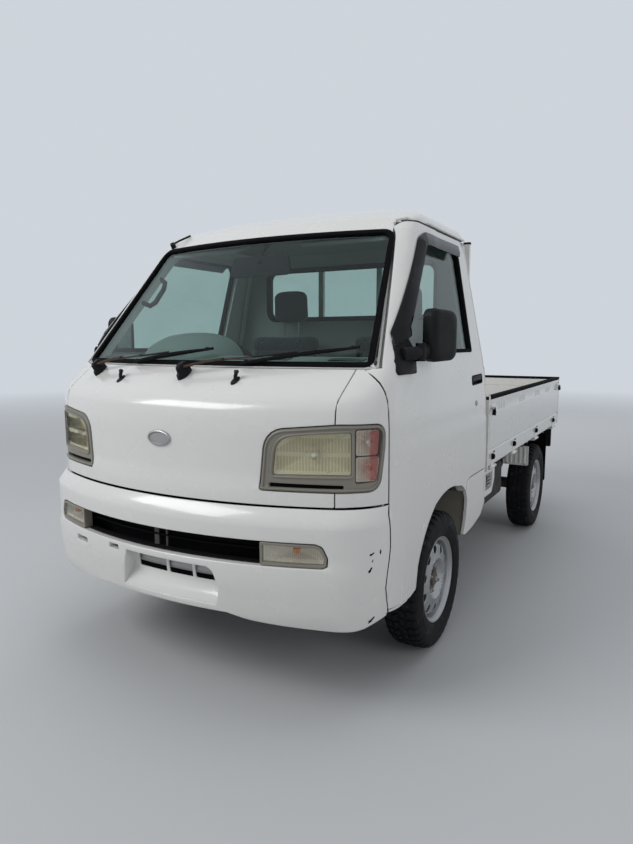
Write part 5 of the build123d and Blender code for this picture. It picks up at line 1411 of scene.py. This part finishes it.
def make_turn_lamps():
    """Lamps in the bumper: a dark frame, a clear fluted lens, and an amber bulb in its reflector."""
    outline = seen_from_front(BUMPER, LAMP_IN_BUMPER, 0.02)
    window = shrunk(outline, 0.009)
    bezel, lens, inner = Shape(), Shape(), Shape()
    trim(bezel, BUMPER, outline, [(0.0, -0.03), (0.0, -0.001), (0.002, 0.001), (0.008, 0.0), (0.01, -0.006),
        (0.01, -0.03)], grid=0.02)
    panel(lens, BUMPER, window, depth=0.003, edge=0.001, lift=-0.003, grid=0.02)
    for k in range(30):
        q0, q1 = [BUMPER.from_front(0.41 + 0.0062 * k + wide, 0.55) for wide in (0.0, 0.0034)]
        pad(lens, BUMPER, q0, 0.534, q1, 0.576, 0.0015, -0.002, edge=0.001)
    bowl(inner, BUMPER, window, 0.045, lift=-0.008)
    lamp_bulb(inner, BUMPER.at_front(0.503, 0.553, -0.034), 0.012, 0.022, 1)
    make("turn_lamp_frames", bezel.with_mirror(), [BEZEL])
    make("turn_lamp_lenses", lens.with_mirror(), [CLEAR], "lamp_lens", "turn_lamps")
    make("turn_lamp_insides", inner.with_mirror(), [BOWL, AMBER])


# Load bed
GATE_MIDDLE = 0.7155
TAIL_MIDDLE = 2.5575
GATE_FACE = 0.0085
GATE_ENDS = (0.639, 2.54)
TAIL_ENDS = (-0.728, 0.728)
GATE_HINGES = (0.7, 1.15, 1.751, 2.356)
TAIL_HINGES = (-0.52, 0.0, 0.52)
GATE_MARKS = (0.87, 1.34, 1.78, 2.12)
TAIL_MARKS = (-0.45, -0.15, 0.15, 0.45)
# columns: how far out from the gate's middle, height
GATE_OUTSIDE = (
    (-0.0115, 0.607), (0.0085, 0.607), (0.0115, 0.611), (0.0115, 0.674), (0.008, 0.679), (0.008, 0.686),
    (0.012, 0.692), (0.0125, 0.85), (0.0085, 0.857), (0.0085, 0.902), (0.0125, 0.909), (0.0125, 0.936),
)
GATE_RAIL = ((0.013, 0.924), (0.014, 0.926), (0.014, 0.938), (0.0115, 0.9415), (-0.0115, 0.9415),
    (-0.014, 0.938), (-0.014, 0.926), (-0.013, 0.924))


def extruded(shape, place, section, stops, paint=0):
    """A section of (out, up) points carried along through the given stops."""
    loft(shape, [[place(stop, out, up) for out, up in section] for stop in stops], paint)


def drop_gate(place, surface, ends, hinges, marks):
    """A hinged bed side: pressed plate, dark top rail, ribs under it, rubber stops, hinges and latches."""
    shape = Shape()
    low, high = ends
    inner = [(-0.0115, 0.936)]
    for z in (0.866, 0.786, 0.706):
        inner += [(-0.0115, z + 0.006), (-0.0078, z + 0.003), (-0.0078, z - 0.003), (-0.0115, z - 0.006)]
    extruded(shape, place, [*GATE_OUTSIDE, *inner], (low, high))
    extruded(shape, place, GATE_RAIL, (low + 0.002, high - 0.002), 1)
    for centre in marks:
        for step in (-0.05, 0.0, 0.05):
            pad(shape, surface, centre + step - 0.004, 0.864, centre + step + 0.004, 0.896, 0.002, 0.0025,
                edge=0.001)
        pad(shape, surface, centre - 0.065, 0.6745, centre + 0.065, 0.6775, 0.001, -0.0005, edge=0.0005)
    for centre in hinges:
        extruded(shape, place, circle(0.0075, 14, 0.0145, 0.598), (centre - 0.03, centre + 0.03))
        extruded(shape, place, ((0.006, 0.6), (0.0145, 0.6), (0.0145, 0.632), (0.006, 0.632)),
            (centre - 0.028, centre + 0.028))
        button(shape, surface, centre, 0.648, [(0.015, 0.0), (0.014, 0.012), (0.01, 0.0165),
            (0.004, 0.018)], 1, 16)
        pad(shape, surface, centre + 0.022, 0.662, centre + 0.05, 0.67, 0.003, 0.0045, 1, 0.001)
    for end, inward in ((low, 1), (high, -1)):
        near, far = sorted((end + inward * 0.012, end + inward * 0.085))
        pad(shape, surface, near, 0.862, far, 0.9, 0.006, 0.0085)
        extruded(shape, place, circle(0.0055, 10, 0.02, 0.882),
            (end + inward * 0.006, end + inward * 0.05), 2)
        lever = [place(end + inward * share, out, up) for share, out, up in ((0.03, 0.02, 0.884),
            (0.03, 0.024, 0.866), (0.026, 0.023, 0.85))]
        tube(shape, lever, oval(0.01, 0.0045, 10), paint=1)
    return shape


def make_gates():
    """The three bed sides, each on its own hinges."""
    side = drop_gate(lambda s, out, z: Vector((GATE_MIDDLE + out, s, z)),
        flat_surface((GATE_MIDDLE + GATE_FACE, 0, 0), *LEFT), GATE_ENDS, GATE_HINGES, GATE_MARKS)
    tail = drop_gate(lambda s, out, z: Vector((-s, TAIL_MIDDLE + out, z)),
        flat_surface((0, TAIL_MIDDLE + GATE_FACE, 0), *BACK), TAIL_ENDS, TAIL_HINGES, TAIL_MARKS)
    for shape, name in ((side, "left_side_gate"), (side.mirrored(), "right_side_gate"),
        (tail, "tail_gate")):
        make(name + "_detailed", shape, [PAINT, RUBBER, ZINC], "white_paint", name, body=name)


BED_RIB = ((-0.02, 0.6545), (-0.013, 0.661), (0.013, 0.661), (0.02, 0.6545))
BED_RIBS, RIB_PITCH, FIRST_RIB = 13, 0.105, 0.63
GUARD_HOOK = ((0.633, 0.912), (0.646, 0.912), (0.652, 0.905), (0.652, 0.885), (0.66, 0.88))


def make_bed():
    """Ribs pressed along the bed's floor, rope rings on it, and the guard's caps, bolts and hooks."""
    floor, guard = Shape(), Shape()
    for number in range(BED_RIBS):
        extruded(floor, lambda s, out, z: Vector((RIB_PITCH * number - FIRST_RIB + out, s, z)), BED_RIB,
            (0.66, 2.52))
    for y in (0.72, 1.59, 2.46):
        for x in (-0.577, 0.577):
            button(floor, flat_surface((0, 0, 0.655), *UP), x, y, [(0.016, 0.0), (0.016, 0.003)], 1, 16)
            ring = [(x + 0.013 * cos(t), y, 0.658 + 0.013 * sin(t)) for t in np.linspace(0, pi, 9)]
            tube(floor, ring, 0.0028, 8, 1)
    make("bed_ribs", floor, [BED, ZINC])
    front = flat_surface((0, 0.633, 0), *BACK)
    for x in (-0.6, -0.165, 0.165, 0.6):
        box(guard, (x - 0.0155, 0.613, 1.634), (x + 0.0155, 0.634, 1.643), 1)
        for z in (0.905, 0.93):
            bolt(guard, front, -x, z, 0.007, 0.006, 2)
        for z in (1.245, 1.306):
            pad(guard, front, -x - 0.011, z - 0.003, -x + 0.011, z + 0.003, 0.002, 0.001, 0, 0.0008)
    for x in (-0.4, 0.0, 0.4):
        tube(guard, [(x, y, z) for y, z in GUARD_HOOK], 0.004, 8, 2)
    extruded(guard, lambda s, out, z: Vector((s, 0.623 + out * 0.75, z)), GATE_RAIL, (-0.727, 0.727), 1)
    make("guard_fittings", guard, [PAINT, BLACK, ZINC])


# Rear fittings and side covers
COVER = ((0.612, 0.455, 0.006), (0.773, 0.455, 0.02), (0.82, 0.518, 0.02), (0.821, 0.585, 0.006),
    (0.612, 0.585, 0.006))
COVER_POCKET = ((0.652, 0.484, 0.006), (0.76, 0.484, 0.01), (0.78, 0.515, 0.01), (0.78, 0.566, 0.006),
    (0.652, 0.566, 0.006))


def make_side_fittings():
    """Side covers with a pocket, ribbed panels ahead of the rear wheels, and rubber flaps behind them."""
    covers, flaps = Shape(), Shape()
    side = flat_surface((0.713, 0, 0), *LEFT)
    pocket = rounded(COVER_POCKET)
    panel(covers, side, rounded(COVER), [pocket], depth=0.016, edge=0.003)
    trim(covers, side, pocket, [(0.001, 0.0), (-0.003, 0.0), (-0.003, -0.013), (0.001, -0.013)])
    panel(covers, side, shrunk(pocket, -0.002), depth=0.002, edge=0.0005, lift=-0.012, paint=1)
    for z in (0.5, 0.516, 0.532):
        pad(covers, side, 0.69, z, 0.768, z + 0.006, 0.002, -0.008, 1, 0.001)
    pad(covers, side, 0.656, 0.536, 0.676, 0.56, 0.003, -0.004, 2, 0.002)
    make("side_covers_detailed", covers.with_mirror(), [PAINT, ZINC, BLACK], "white_paint", "side_covers")
    ahead = flat_surface((0.636, 1.6405, 0.5), (1, 0, 0), (0, 0, 1))
    panel(flaps, ahead, rounded([(-0.076, -0.06, 0.01), (0.076, -0.06, 0.01), (0.076, 0.06),
        (-0.076, 0.06)]), depth=0.0045, edge=0.001)
    for k in range(5):
        pad(flaps, ahead, -0.062 + 0.027 * k, -0.048, -0.048 + 0.027 * k, 0.056, 0.005, 0.0035, 0, 0.003)
    for a in (-0.055, 0.055):
        bolt(flaps, ahead, a, -0.053, 0.004, 0.004, 2)
    behind = flat_surface((0.6375, 2.3065, 0.391), *BACK)
    panel(flaps, behind, rounded([(-0.0625, -0.169, 0.012), (0.0625, -0.169, 0.012), (0.0625, 0.169),
        (-0.0625, 0.169)]), depth=0.0065, edge=0.0015, paint=1)
    pad(flaps, behind, -0.06, 0.138, 0.06, 0.16, 0.002, 0.003, 2, 0.001)
    make("splash_flaps", flaps.with_mirror(), [PAINT, RUBBER, ZINC], "black_plastic", "mudguards")


def make_rear_fittings():
    """Tail lamps in three colours, and a blank number plate with its bracket and lamp."""
    shape, plate = Shape(), Shape()
    back = flat_surface((0.625, 2.56, 0.5025), *BACK)
    panel(shape, back, rounded(rect(-0.065, -0.0725, 0.065, 0.0725, 0.008)), depth=0.02, edge=0.003)
    for low, high, paint in ((-0.064, -0.026, 3), (-0.022, 0.026, 1), (0.03, 0.064, 2)):
        pad(shape, back, -0.057, low, 0.057, high, 0.005, 0.004, paint, 0.002)
        for k in range(15):
            x = 0.0072 * k
            pad(shape, back, x - 0.053, low + 0.005, x - 0.05, high - 0.005, 0.001, 0.005, paint, 0.0006)
    for a, b in ((-0.045, 0.028), (0.045, -0.024)):
        button(shape, back, a, b, [(0.0035, 0.002), (0.0035, 0.006), (0.002, 0.0065)], 4, 12)
    make("tail_lamps_detailed", shape.with_mirror(), [BLACK, RED, AMBER, PALE_LENS, ZINC], "tail_lens",
        "tail_lamps")
    rear = flat_surface((-0.22, 2.546, 0.478), *BACK)
    panel(plate, rear, rounded(rect(-0.165, -0.0825, 0.165, 0.0825, 0.012)), depth=0.0015, edge=0.0006)
    for a in (-0.105, 0.105):
        bolt(plate, rear, a, 0.055, 0.006, 0.005, 1)
        box(plate, (-0.22 + a - 0.012, 2.5385, 0.43), (-0.22 + a + 0.012, 2.545, 0.545), 2)
    box(plate, (-0.265, 2.532, 0.566), (-0.175, 2.562, 0.584), 2)
    make("number_plate_blank", plate, [PLATE, ZINC, BLACK])


# Inside the cab
DASH = ((-0.5, 0.784), (-0.4, 0.804, 0.03), (-0.305, 0.9, 0.03), (-0.3, 1.022, 0.035),
    (-0.335, 1.142, 0.03), (-0.455, 1.122, 0.02), (-0.5, 1.092, 0.01))
DASH_HALF = 0.63
HOOD_CENTRE, HOOD_FOOT = -0.235, 1.07
HOOD_HALF, HOOD_RISE = 0.23, 0.158
# columns: y, share of the hood's full size
HOOD_ROWS = ((-0.465, 0.45), (-0.45, 0.62), (-0.41, 0.82), (-0.34, 0.96), (-0.282, 1.0), (-0.27, 0.985),
    (-0.28, 0.93), (-0.355, 0.86))


def make_dashboard():
    """Dashboard: a rounded shelf with vents, an instrument hood, heater panel, glove box and controls."""
    shape = Shape()
    extruded(shape, lambda s, out, z: Vector((s, out, z)), rounded(DASH), (-DASH_HALF, DASH_HALF))
    hood = [(copysign(HOOD_HALF * abs(cos(t)) ** 0.8, cos(t)), HOOD_RISE * sin(t) ** 0.7)
        for t in np.linspace(0.0, pi, 25)]
    loft(shape, [[Vector((HOOD_CENTRE + a * share, y, HOOD_FOOT + b * share)) for a, b in hood]
        for y, share in HOOD_ROWS])
    gauges = flat_surface((-0.31, -0.353, 1.13), (-1, 0, 0), (0, 0.02, 1.0))
    for a, radius in ((0.0, 0.052), (-0.085, 0.03), (0.085, 0.03)):
        button(shape, gauges, a, 0.0, [(radius, 0.0), (radius, 0.005), (radius * 0.94, 0.005),
            (radius * 0.92, 0.002)], 1)
        for k in range(9):
            turn = radians(-30 + 30 * k)
            mark = [gauges(a + radius * s * cos(turn), radius * s * sin(turn), 0.003) for s in (0.72, 0.88)]
            tube(shape, mark, 0.0012, 4, 3)
        needle = [gauges(a, 0, 0.004), gauges(a - radius * 0.6, -radius * 0.3, 0.004)]
        tube(shape, needle, 0.0012, 5, 4)
    top = flat_surface((0, -0.405, 1.1303), (1, 0, 0), (0, 0.987, 0.16))
    for x0, x1 in ((-0.61, -0.54), (-0.36, -0.19), (0.0, 0.29), (0.45, 0.58)):
        pad(shape, top, x0, -0.03, x1, 0.012, 0.004, 0.002, 1, 0.001)
        for k in range(round((x1 - x0) / 0.01)):
            x = x0 + 0.01 * k
            pad(shape, top, x + 0.004, -0.026, x + 0.007, 0.008, 0.001, 0.0045, 0, 0.0008)
    face = flat_surface((0, -0.3035, 0), (-1, 0, 0), (0, 0.01, 1))
    pad(shape, face, -0.105, 0.885, 0.105, 1.015, 0.008, 0.009, 1, 0.004)
    pad(shape, face, -0.092, 0.965, 0.092, 1.005, 0.004, 0.012, 2, 0.002)
    for k in range(3):
        button(shape, face, -0.06 + 0.06 * k, 0.92, [(0.017, 0.009), (0.016, 0.022), (0.012, 0.025)], 2)
    for a0, a1, b0, b1 in ((-0.56, -0.17, 0.88, 0.99), (0.14, 0.19, 0.93, 1.0), (0.47, 0.58, 0.95, 1.01),
                           (-0.6, -0.57, 0.95, 1.01)):
        pad(shape, face, a0, b0, a1, b1, 0.012, 0.007, 0, 0.004)
    for a in (-0.555, 0.475):
        for k in range(5):
            pad(shape, face, a, 0.955 + 0.01 * k, a + 0.085, 0.96 + 0.01 * k, 0.001, 0.01, 1, 0.0008)
    make("dashboard_detailed", shape, [DASH_TRIM, BLACK, TRIM, PALE_LENS, RED], "grey_trim", "dashboard")


WHEEL_CENTRE = Vector((-0.32, -0.02, 1.095))
WHEEL_TILT = radians(40)
WHEEL_RADIUS = 0.185
GRIP_RADIUS = 0.0155
GRIP_STEPS = 72


def wheel_face(a, b, height=0.0):
    """A place on the steering wheel: across it, up it and above its plane."""
    tilt, rise = sin(WHEEL_TILT), cos(WHEEL_TILT)
    return WHEEL_CENTRE + Vector((a, b * rise + height * tilt, height * rise - b * tilt))


def make_controls():
    """Steering wheel's grip and pad, column cover and stalks, pedals, gear lever and parking brake."""
    wheel, shape = Shape(), Shape()
    rows = []
    for number in range(GRIP_STEPS):
        t = 2 * pi * number / GRIP_STEPS
        thick = GRIP_RADIUS + 0.0006 * cos(12 * t)
        out = Vector((cos(t), sin(t)))
        rows.append([wheel_face(*(out * (WHEEL_RADIUS + thick * a)), thick * b)
            for a, b in ring_of(1.0, 12)])
    loft(wheel, rows, ring=True)
    outline = rounded([(-0.062, -0.052, 0.03), (0.062, -0.052, 0.03), (0.078, 0.04, 0.03),
        (-0.078, 0.04, 0.03)])
    loft(wheel, [[wheel_face(p.x * grow, p.y * grow, height) for p in outline]
        for height, grow in ((-0.045, 0.8), (-0.025, 1.0), (-0.008, 1.0), (0.0, 0.95), (0.004, 0.82))])
    for degrees in (-20, 200, 270):
        turn = radians(degrees)
        way = Vector((cos(turn), -sin(turn)))
        spoke = [wheel_face(*(way * reach), -0.02 + 0.016 * reach / 0.18)
            for reach in (0.04, 0.09, 0.14, 0.18)]
        tube(wheel, spoke, oval(0.019, 0.007))
    make("steering_wheel_detailed", wheel, [GRIP], "black_plastic", "steering_wheel", body="steering_wheel",
        sharp=50)
    for hand, length in ((-1, 0.155), (1, 0.15)):
        path = [wheel_face(hand * reach, -0.012, -0.085 + 0.18 * (reach - 0.03))
            for reach in (0.03, 0.08, length)]
        tube(shape, path, 0.0065)
        tube(shape, [path[-1] - Vector((hand * 0.03, 0, 0)), path[-1] + Vector((hand * 0.012, 0, 0.002))],
            0.01, 12)
    tube(shape, [wheel_face(0, 0, -depth) for depth in (0.06, 0.075, 0.14, 0.26)], oval(0.052, 0.044, 20))
    for x, wide in ((-0.42, 0.022), (-0.33, 0.03), (-0.235, 0.024)):
        tube(shape, [(x, -0.6, 0.7), (x, -0.56, 0.6), (x, -0.52, 0.575)], 0.007, 8)
        sole = rounded(rect(-wide, -0.03, wide, 0.03, 0.008), 3)
        tube(shape, [(x, -0.523, 0.58), (x, -0.511, 0.56)], sole)
    tube(shape, [(-0.055, -0.1, 0.49), (-0.055, -0.075, 0.66), (-0.06, -0.045, 0.8)], 0.007, 10, 1)
    lathe(shape, [(0.0005, 0.85), (0.014, 0.846), (0.021, 0.83), (0.018, 0.808), (0.01, 0.795)],
        (-0.06, -0.044, 0), "z", 20)
    lathe(shape, [(0.055, 0.489), (0.05, 0.52), (0.032, 0.545), (0.03, 0.56), (0.016, 0.59), (0.008, 0.6)],
        (-0.055, -0.095, 0), "z", 24)
    tube(shape, [(0.0, 0.2, 0.668), (0.0, 0.14, 0.7), (0.0, 0.02, 0.745), (0.0, -0.06, 0.762)],
        oval(0.012, 0.016))
    make("cab_controls", shape, [BLACK, ZINC])


def make_cab_trim():
    """Interior mirror, sun visors, the handle on the driver's pillar and floor mats."""
    shape, mats = Shape(), Shape()
    facing = flat_surface((0.0, -0.16, 1.49), (-0.995, 0.06, 0), (0, 0.1, 0.995))
    rim = rounded([(-0.15, -0.041, 0.02), (0.15, -0.041, 0.02), (0.14, 0.039, 0.03), (-0.14, 0.039, 0.03)])
    panel(shape, facing, rim, depth=0.018, edge=0.006)
    panel(shape, facing, shrunk(rim, 0.006), depth=0.002, edge=0.0005, lift=0.0015, paint=1)
    tube(shape, [(0.0, -0.178, 1.5), (0.0, -0.15, 1.545), (0.0, -0.1, 1.6)], 0.008)
    for x in (-0.335, 0.335):
        visor = flat_surface((x, -0.06, 1.596), (-1, 0, 0), (0, -0.94, -0.34))
        leaf = rounded([(-0.19, -0.07, 0.02), (0.19, -0.07, 0.02), (0.19, 0.06, 0.03), (-0.19, 0.06, 0.03)])
        panel(shape, visor, leaf, depth=0.016, edge=0.006, paint=2)
    grab = [(-0.612, -0.25, 1.372), (-0.576, -0.235, 1.358), (-0.561, -0.215, 1.348),
        (-0.549, -0.195, 1.363), (-0.534, -0.155, 1.425), (-0.538, -0.142, 1.452),
        (-0.557, -0.15, 1.469), (-0.59, -0.165, 1.478)]
    tube(shape, grab, 0.011, 12)
    make("mirror_and_visors", shape, [BLACK, MIRROR, LINING])
    up = flat_surface((0, 0, 0.49), *UP)
    for x in (-0.25, 0.25):
        pad(mats, up, x - 0.18, -0.42, x + 0.18, -0.16, 0.04, 0.008, edge=0.003)
        for k in range(9):
            rib = x + 0.038 * k
            pad(mats, up, rib - 0.16, -0.4, rib - 0.148, -0.18, 0.004, 0.0105, edge=0.001)
    make("floor_mats", mats, [RUBBER])


# Seats: closed pads swollen by a cloth simulation, then seamed
# columns: whose, x, how far out its headrest stands
SEATS = (("driver", -0.3, 0.02), ("passenger", 0.3, 0.035))
# columns: name, half width, corners of the side view as y, z and radius
PADS = (
    ("cushion", 0.222, ((-0.022, 0.678, 0.03), (-0.045, 0.78, 0.04), (-0.01, 0.806, 0.05),
        (0.395, 0.786, 0.05), (0.455, 0.75, 0.04), (0.455, 0.678, 0.02))),
    ("backrest", 0.212, ((0.4, 0.795, 0.05), (0.444, 1.23, 0.05), (0.5, 1.242, 0.03),
        (0.522, 1.226, 0.03), (0.488, 0.75, 0.03), (0.458, 0.752, 0.04))),
    ("headrest", 0.098, ((0.47, 1.292, 0.03), (0.468, 1.43, 0.03), (0.492, 1.452, 0.03),
        (0.534, 1.446, 0.03), (0.548, 1.31, 0.03), (0.532, 1.289, 0.03))),
)
PAD_ENDS = ((0.0, 0.04), (0.006, 0.022), (0.016, 0.01), (0.034, 0.003), (0.06, 0.0))
VOXEL = 0.011
SWELL_LIMIT = 0.024
CLOTH_PRESSURE = 4.0
CLOTH_FRAMES = 20
SEAM_WIDTH = 0.007
SEAM_DEPTH = 0.007


def pad_blank(half, corners):
    """A rounded closed form, a little smaller than the pad."""
    profile = rounded(corners, 6)
    ends = [(-half + along, inset) for along, inset in PAD_ENDS]
    ends += [(-x, inset) for x, inset in reversed(ends)]
    rows = [[Vector((x, p.x, p.y)) for p in shrunk(profile, inset)] for x, inset in ends]
    shape = Shape()
    loft(shape, rows)
    return shape


def settled(piece):
    """A piece's mesh with its modifiers applied."""
    mesh = bpy.data.meshes.new_from_object(piece.evaluated_get(bpy.context.evaluated_depsgraph_get()))
    piece.modifiers.clear()
    piece.data = mesh
    return mesh


def swell(pieces):
    """Cloth with pressure on every piece at once; no point moves further than the limit."""
    starts = {}
    for piece in pieces:
        remesh = piece.modifiers.new("remesh", "REMESH")
        remesh.mode = "VOXEL"
        remesh.voxel_size = VOXEL
        mesh = settled(piece)
        starts[piece.name] = [vertex.co.copy() for vertex in mesh.vertices]
    for piece in pieces:
        cloth = piece.modifiers.new("cloth", "CLOTH")
        cloth.settings.use_pressure = True
        cloth.settings.uniform_pressure_force = CLOTH_PRESSURE
        cloth.settings.effector_weights.gravity = 0.0
        cloth.settings.quality = 5
        cloth.point_cache.frame_start = 1
        cloth.point_cache.frame_end = CLOTH_FRAMES
    for step in range(1, CLOTH_FRAMES + 1):
        bpy.context.scene.frame_set(step)
    for piece in pieces:
        mesh = settled(piece)
        for vertex, start in zip(mesh.vertices, starts[piece.name]):
            moved = vertex.co - start
            if moved.length > SWELL_LIMIT:
                vertex.co = start + moved.normalized() * SWELL_LIMIT
        piece.modifiers.new("smooth", "SUBSURF").levels = 1
        settled(piece)
    bpy.context.scene.frame_set(1)


def sew(mesh, top, lines):
    """Sewn channels pressed into the side of a mesh that faces the top direction."""
    normals = [vertex.normal.copy() for vertex in mesh.vertices]
    for vertex, normal in zip(mesh.vertices, normals):
        facing = normal.dot(top)
        if facing < 0.2:
            continue
        depth = 0.0
        for axis, place, low, high in lines:
            x, along = vertex.co.x, vertex.co.y if top.z > 0.5 else vertex.co.z
            across, other = (x, along) if axis == "x" else (along, x)
            if low <= other <= high:
                depth = max(depth, exp(-((across - place) / SEAM_WIDTH) ** 2))
        vertex.co = vertex.co - normal * SEAM_DEPTH * depth * min(1.0, facing * 2)


# for each pad: the way its face looks, and its seams as the axis they cross, their place and their ends
SEAMS = {
    "cushion": (Vector((0, 0, 1)), (
        ("x", -0.125, -0.02, 0.42), ("x", 0.125, -0.02, 0.42), ("y", 0.03, -0.2, 0.2),
        ("y", 0.13, -0.125, 0.125), ("y", 0.23, -0.125, 0.125), ("y", 0.33, -0.125, 0.125))),
    "backrest": (Vector((0, -1, 0.1)), (
        ("x", -0.12, 0.82, 1.2), ("x", 0.12, 0.82, 1.2), ("y", 1.15, -0.2, 0.2),
        ("y", 1.05, -0.12, 0.12), ("y", 0.95, -0.12, 0.12), ("y", 0.85, -0.12, 0.12))),
}


def make_seats():
    """Two seats, each with a cushion, a backrest and a headrest on its posts."""
    blanks = {}
    for name, half, corners in PADS:
        blanks[name] = make(name + "_blank", pad_blank(half, corners), [SEAT_CLOTH])
        blanks[name].modifiers.clear()
    swell(list(blanks.values()))
    for name, piece in blanks.items():
        mesh = piece.data
        if name in SEAMS:
            mesh.transform(Matrix.Translation((0, -AXLE_Y, 0)))
            sew(mesh, *SEAMS[name])
            mesh.transform(Matrix.Translation((0, AXLE_Y, 0)))
        for who, x, shift in SEATS:
            own = mesh.copy()
            own.transform(Matrix.Translation((x + (shift if name == "headrest" else 0.0), 0, 0)))
            smooth(own)
            pad_piece = placed(who + "_seat_" + name, own)
            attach(pad_piece, "root")
            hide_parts("seats")
        bpy.data.objects.remove(piece)
    frames = Shape()
    for _, x, shift in SEATS:
        for post in (-0.045, 0.045):
            tube(frames, [(x + shift + post, 0.505, 1.225), (x + shift + post, 0.508, 1.325)], 0.006)
        for hand in (-1, 1):
            rail = x + hand * 0.19
            box(frames, (rail - 0.012, 0.02, 0.664), (rail + 0.012, 0.44, 0.682), 1)
            tube(frames, [(x + hand * 0.228, 0.47, 0.7), (x + hand * 0.24, 0.47, 0.7)], 0.04, 20, 1)
        tube(frames, [(x + 0.238, 0.47, 0.705), (x + 0.242, 0.4, 0.715), (x + 0.242, 0.33, 0.722)], 0.009,
            10, 1)
    make("seat_frames", frames, [ZINC, BLACK])


def dress_cad_nodes():
    """Finishes for the CAD nodes that stay as they are."""
    for finish, names in (
        (UNDER, ("chassis_frame", "bed_sills", "front_suspension", "leaf_springs", "propeller_shaft",
            "fuel_tank", "rear_bumper")),
        (CAST, ("left_knuckle", "right_knuckle", "rear_axle", "engine_block")),
        (EXHAUST, ("muffler",)),
        (BED, ("bed_floor",)),
        (PAINT, ("guard_frame",)),
        (MAT, ("cab_floor",)),
        (BLACK, ("steering_column",)),
    ):
        for name in names:
            for slot in frame["nodes"][name].material_slots:
                slot.material = finish


# Floor, lights and camera
def area_light(name, place, target, size, power, mirrored):
    lamp = bpy.data.lights.new(name, "AREA")
    lamp.shape = "RECTANGLE"
    lamp.size, lamp.size_y = size
    lamp.energy = power
    holder = placed(name, lamp)
    holder.visible_glossy = mirrored
    holder.location = place
    holder.rotation_euler = (Vector(target) - Vector(place)).to_track_quat("-Z", "Y").to_euler()


BACKDROP = (0.62, 0.66, 0.71, 1)
AMBIENT = (0.3, 0.315, 0.335, 1)
FLOOR_COLOUR = (0.56, 0.57, 0.58, 1)
FLOOR_SIZE = 30
# columns: name, place, target, size, power, whether it shows in reflections
LAMPS = (
    ("key", (-3.5, -5.5, 5.0), (0, -0.6, 0.8), (4.5, 3.0), 235, True),
    ("top", (0.5, 0.5, 6.0), (0, 0, 0.5), (5.0, 5.0), 70, False),
    ("fill", (6.0, -2.5, 2.8), (0, 0, 0.8), (3.5, 3.0), 60, False),
    ("rear", (-2.0, 6.5, 4.0), (0, 0.5, 0.8), (5.0, 3.0), 95, False),
)


def seen_rays(tree):
    """1 where a ray shows the background itself, directly, mirrored or through glass."""
    path = linked(tree, "LightPath")
    seen = path.outputs["Is Camera Ray"]
    for name in ("Is Glossy Ray", "Is Transmission Ray"):
        seen = linked(tree, "Math", {0: seen, 1: path.outputs[name]}, operation="MAXIMUM").outputs[0]
    return seen


def make_studio():
    """A pale floor and an even pale world; soft lights from above, ahead and the sides."""
    floor = bpy.data.meshes.new("floor")
    floor.from_pydata(rect(-FLOOR_SIZE, -FLOOR_SIZE, FLOOR_SIZE, FLOOR_SIZE, 0), [], [(0, 1, 2, 3)])
    ground = placed("floor", floor)
    material, tree, shader = new_material("floor")
    shader.inputs["Base Color"].default_value = FLOOR_COLOUR
    shader.inputs["Roughness"].default_value = 0.8
    place = linked(tree, "TexCoord").outputs["Object"]
    away = linked(tree, "VectorMath", {0: place}, operation="LENGTH").outputs["Value"]
    far = ranged(tree, away, 3.0, 14.0, 0.0, 1.0)
    glow = linked(tree, "Emission", {"Color": BACKDROP}).outputs[0]
    fade = linked(tree, "Math", {0: far, 1: seen_rays(tree)}, operation="MULTIPLY").outputs[0]
    both = linked(tree, "MixShader", {0: fade, 1: shader.outputs[0], 2: glow}).outputs[0]
    tree.links.new(both, tree.nodes["Material Output"].inputs["Surface"])
    floor.materials.append(material)
    world = bpy.data.worlds.new("studio")
    world.use_nodes = True
    bpy.context.scene.world = world
    tree = world.node_tree
    colour = mixed(tree, seen_rays(tree), AMBIENT, BACKDROP)
    tree.links.new(colour, tree.nodes["Background"].inputs["Color"])
    for row in LAMPS:
        area_light(*row)


CAMERA_PLACE = (1.48, -3.19, 1.186)
CAMERA_TURN = (82.88, 0.0, 29.77)
CAMERA_LENS = 26.98


def make_camera():
    camera = placed("camera", bpy.data.cameras.new("camera"))
    camera.data.lens = CAMERA_LENS
    camera.data.sensor_width = 36.0
    camera.location = CAMERA_PLACE
    camera.rotation_euler = Euler([radians(angle) for angle in CAMERA_TURN])
    bpy.context.scene.camera = camera
    bpy.context.scene.view_settings.view_transform = "Standard"


make_camera()
make_studio()
make_front_panels()
make_windshield()
make_quarters()
make_wheelhouses()
make_doors()
make_roof()
make_back()
make_bumper()
make_chips()
make_headlamps()
make_turn_lamps()
make_wipers()
make_emblem()
make_mirrors()
make_wheels()
make_gates()
make_bed()
make_side_fittings()
make_rear_fittings()
make_dashboard()
make_controls()
make_cab_trim()
make_seats()
dress_cad_nodes()
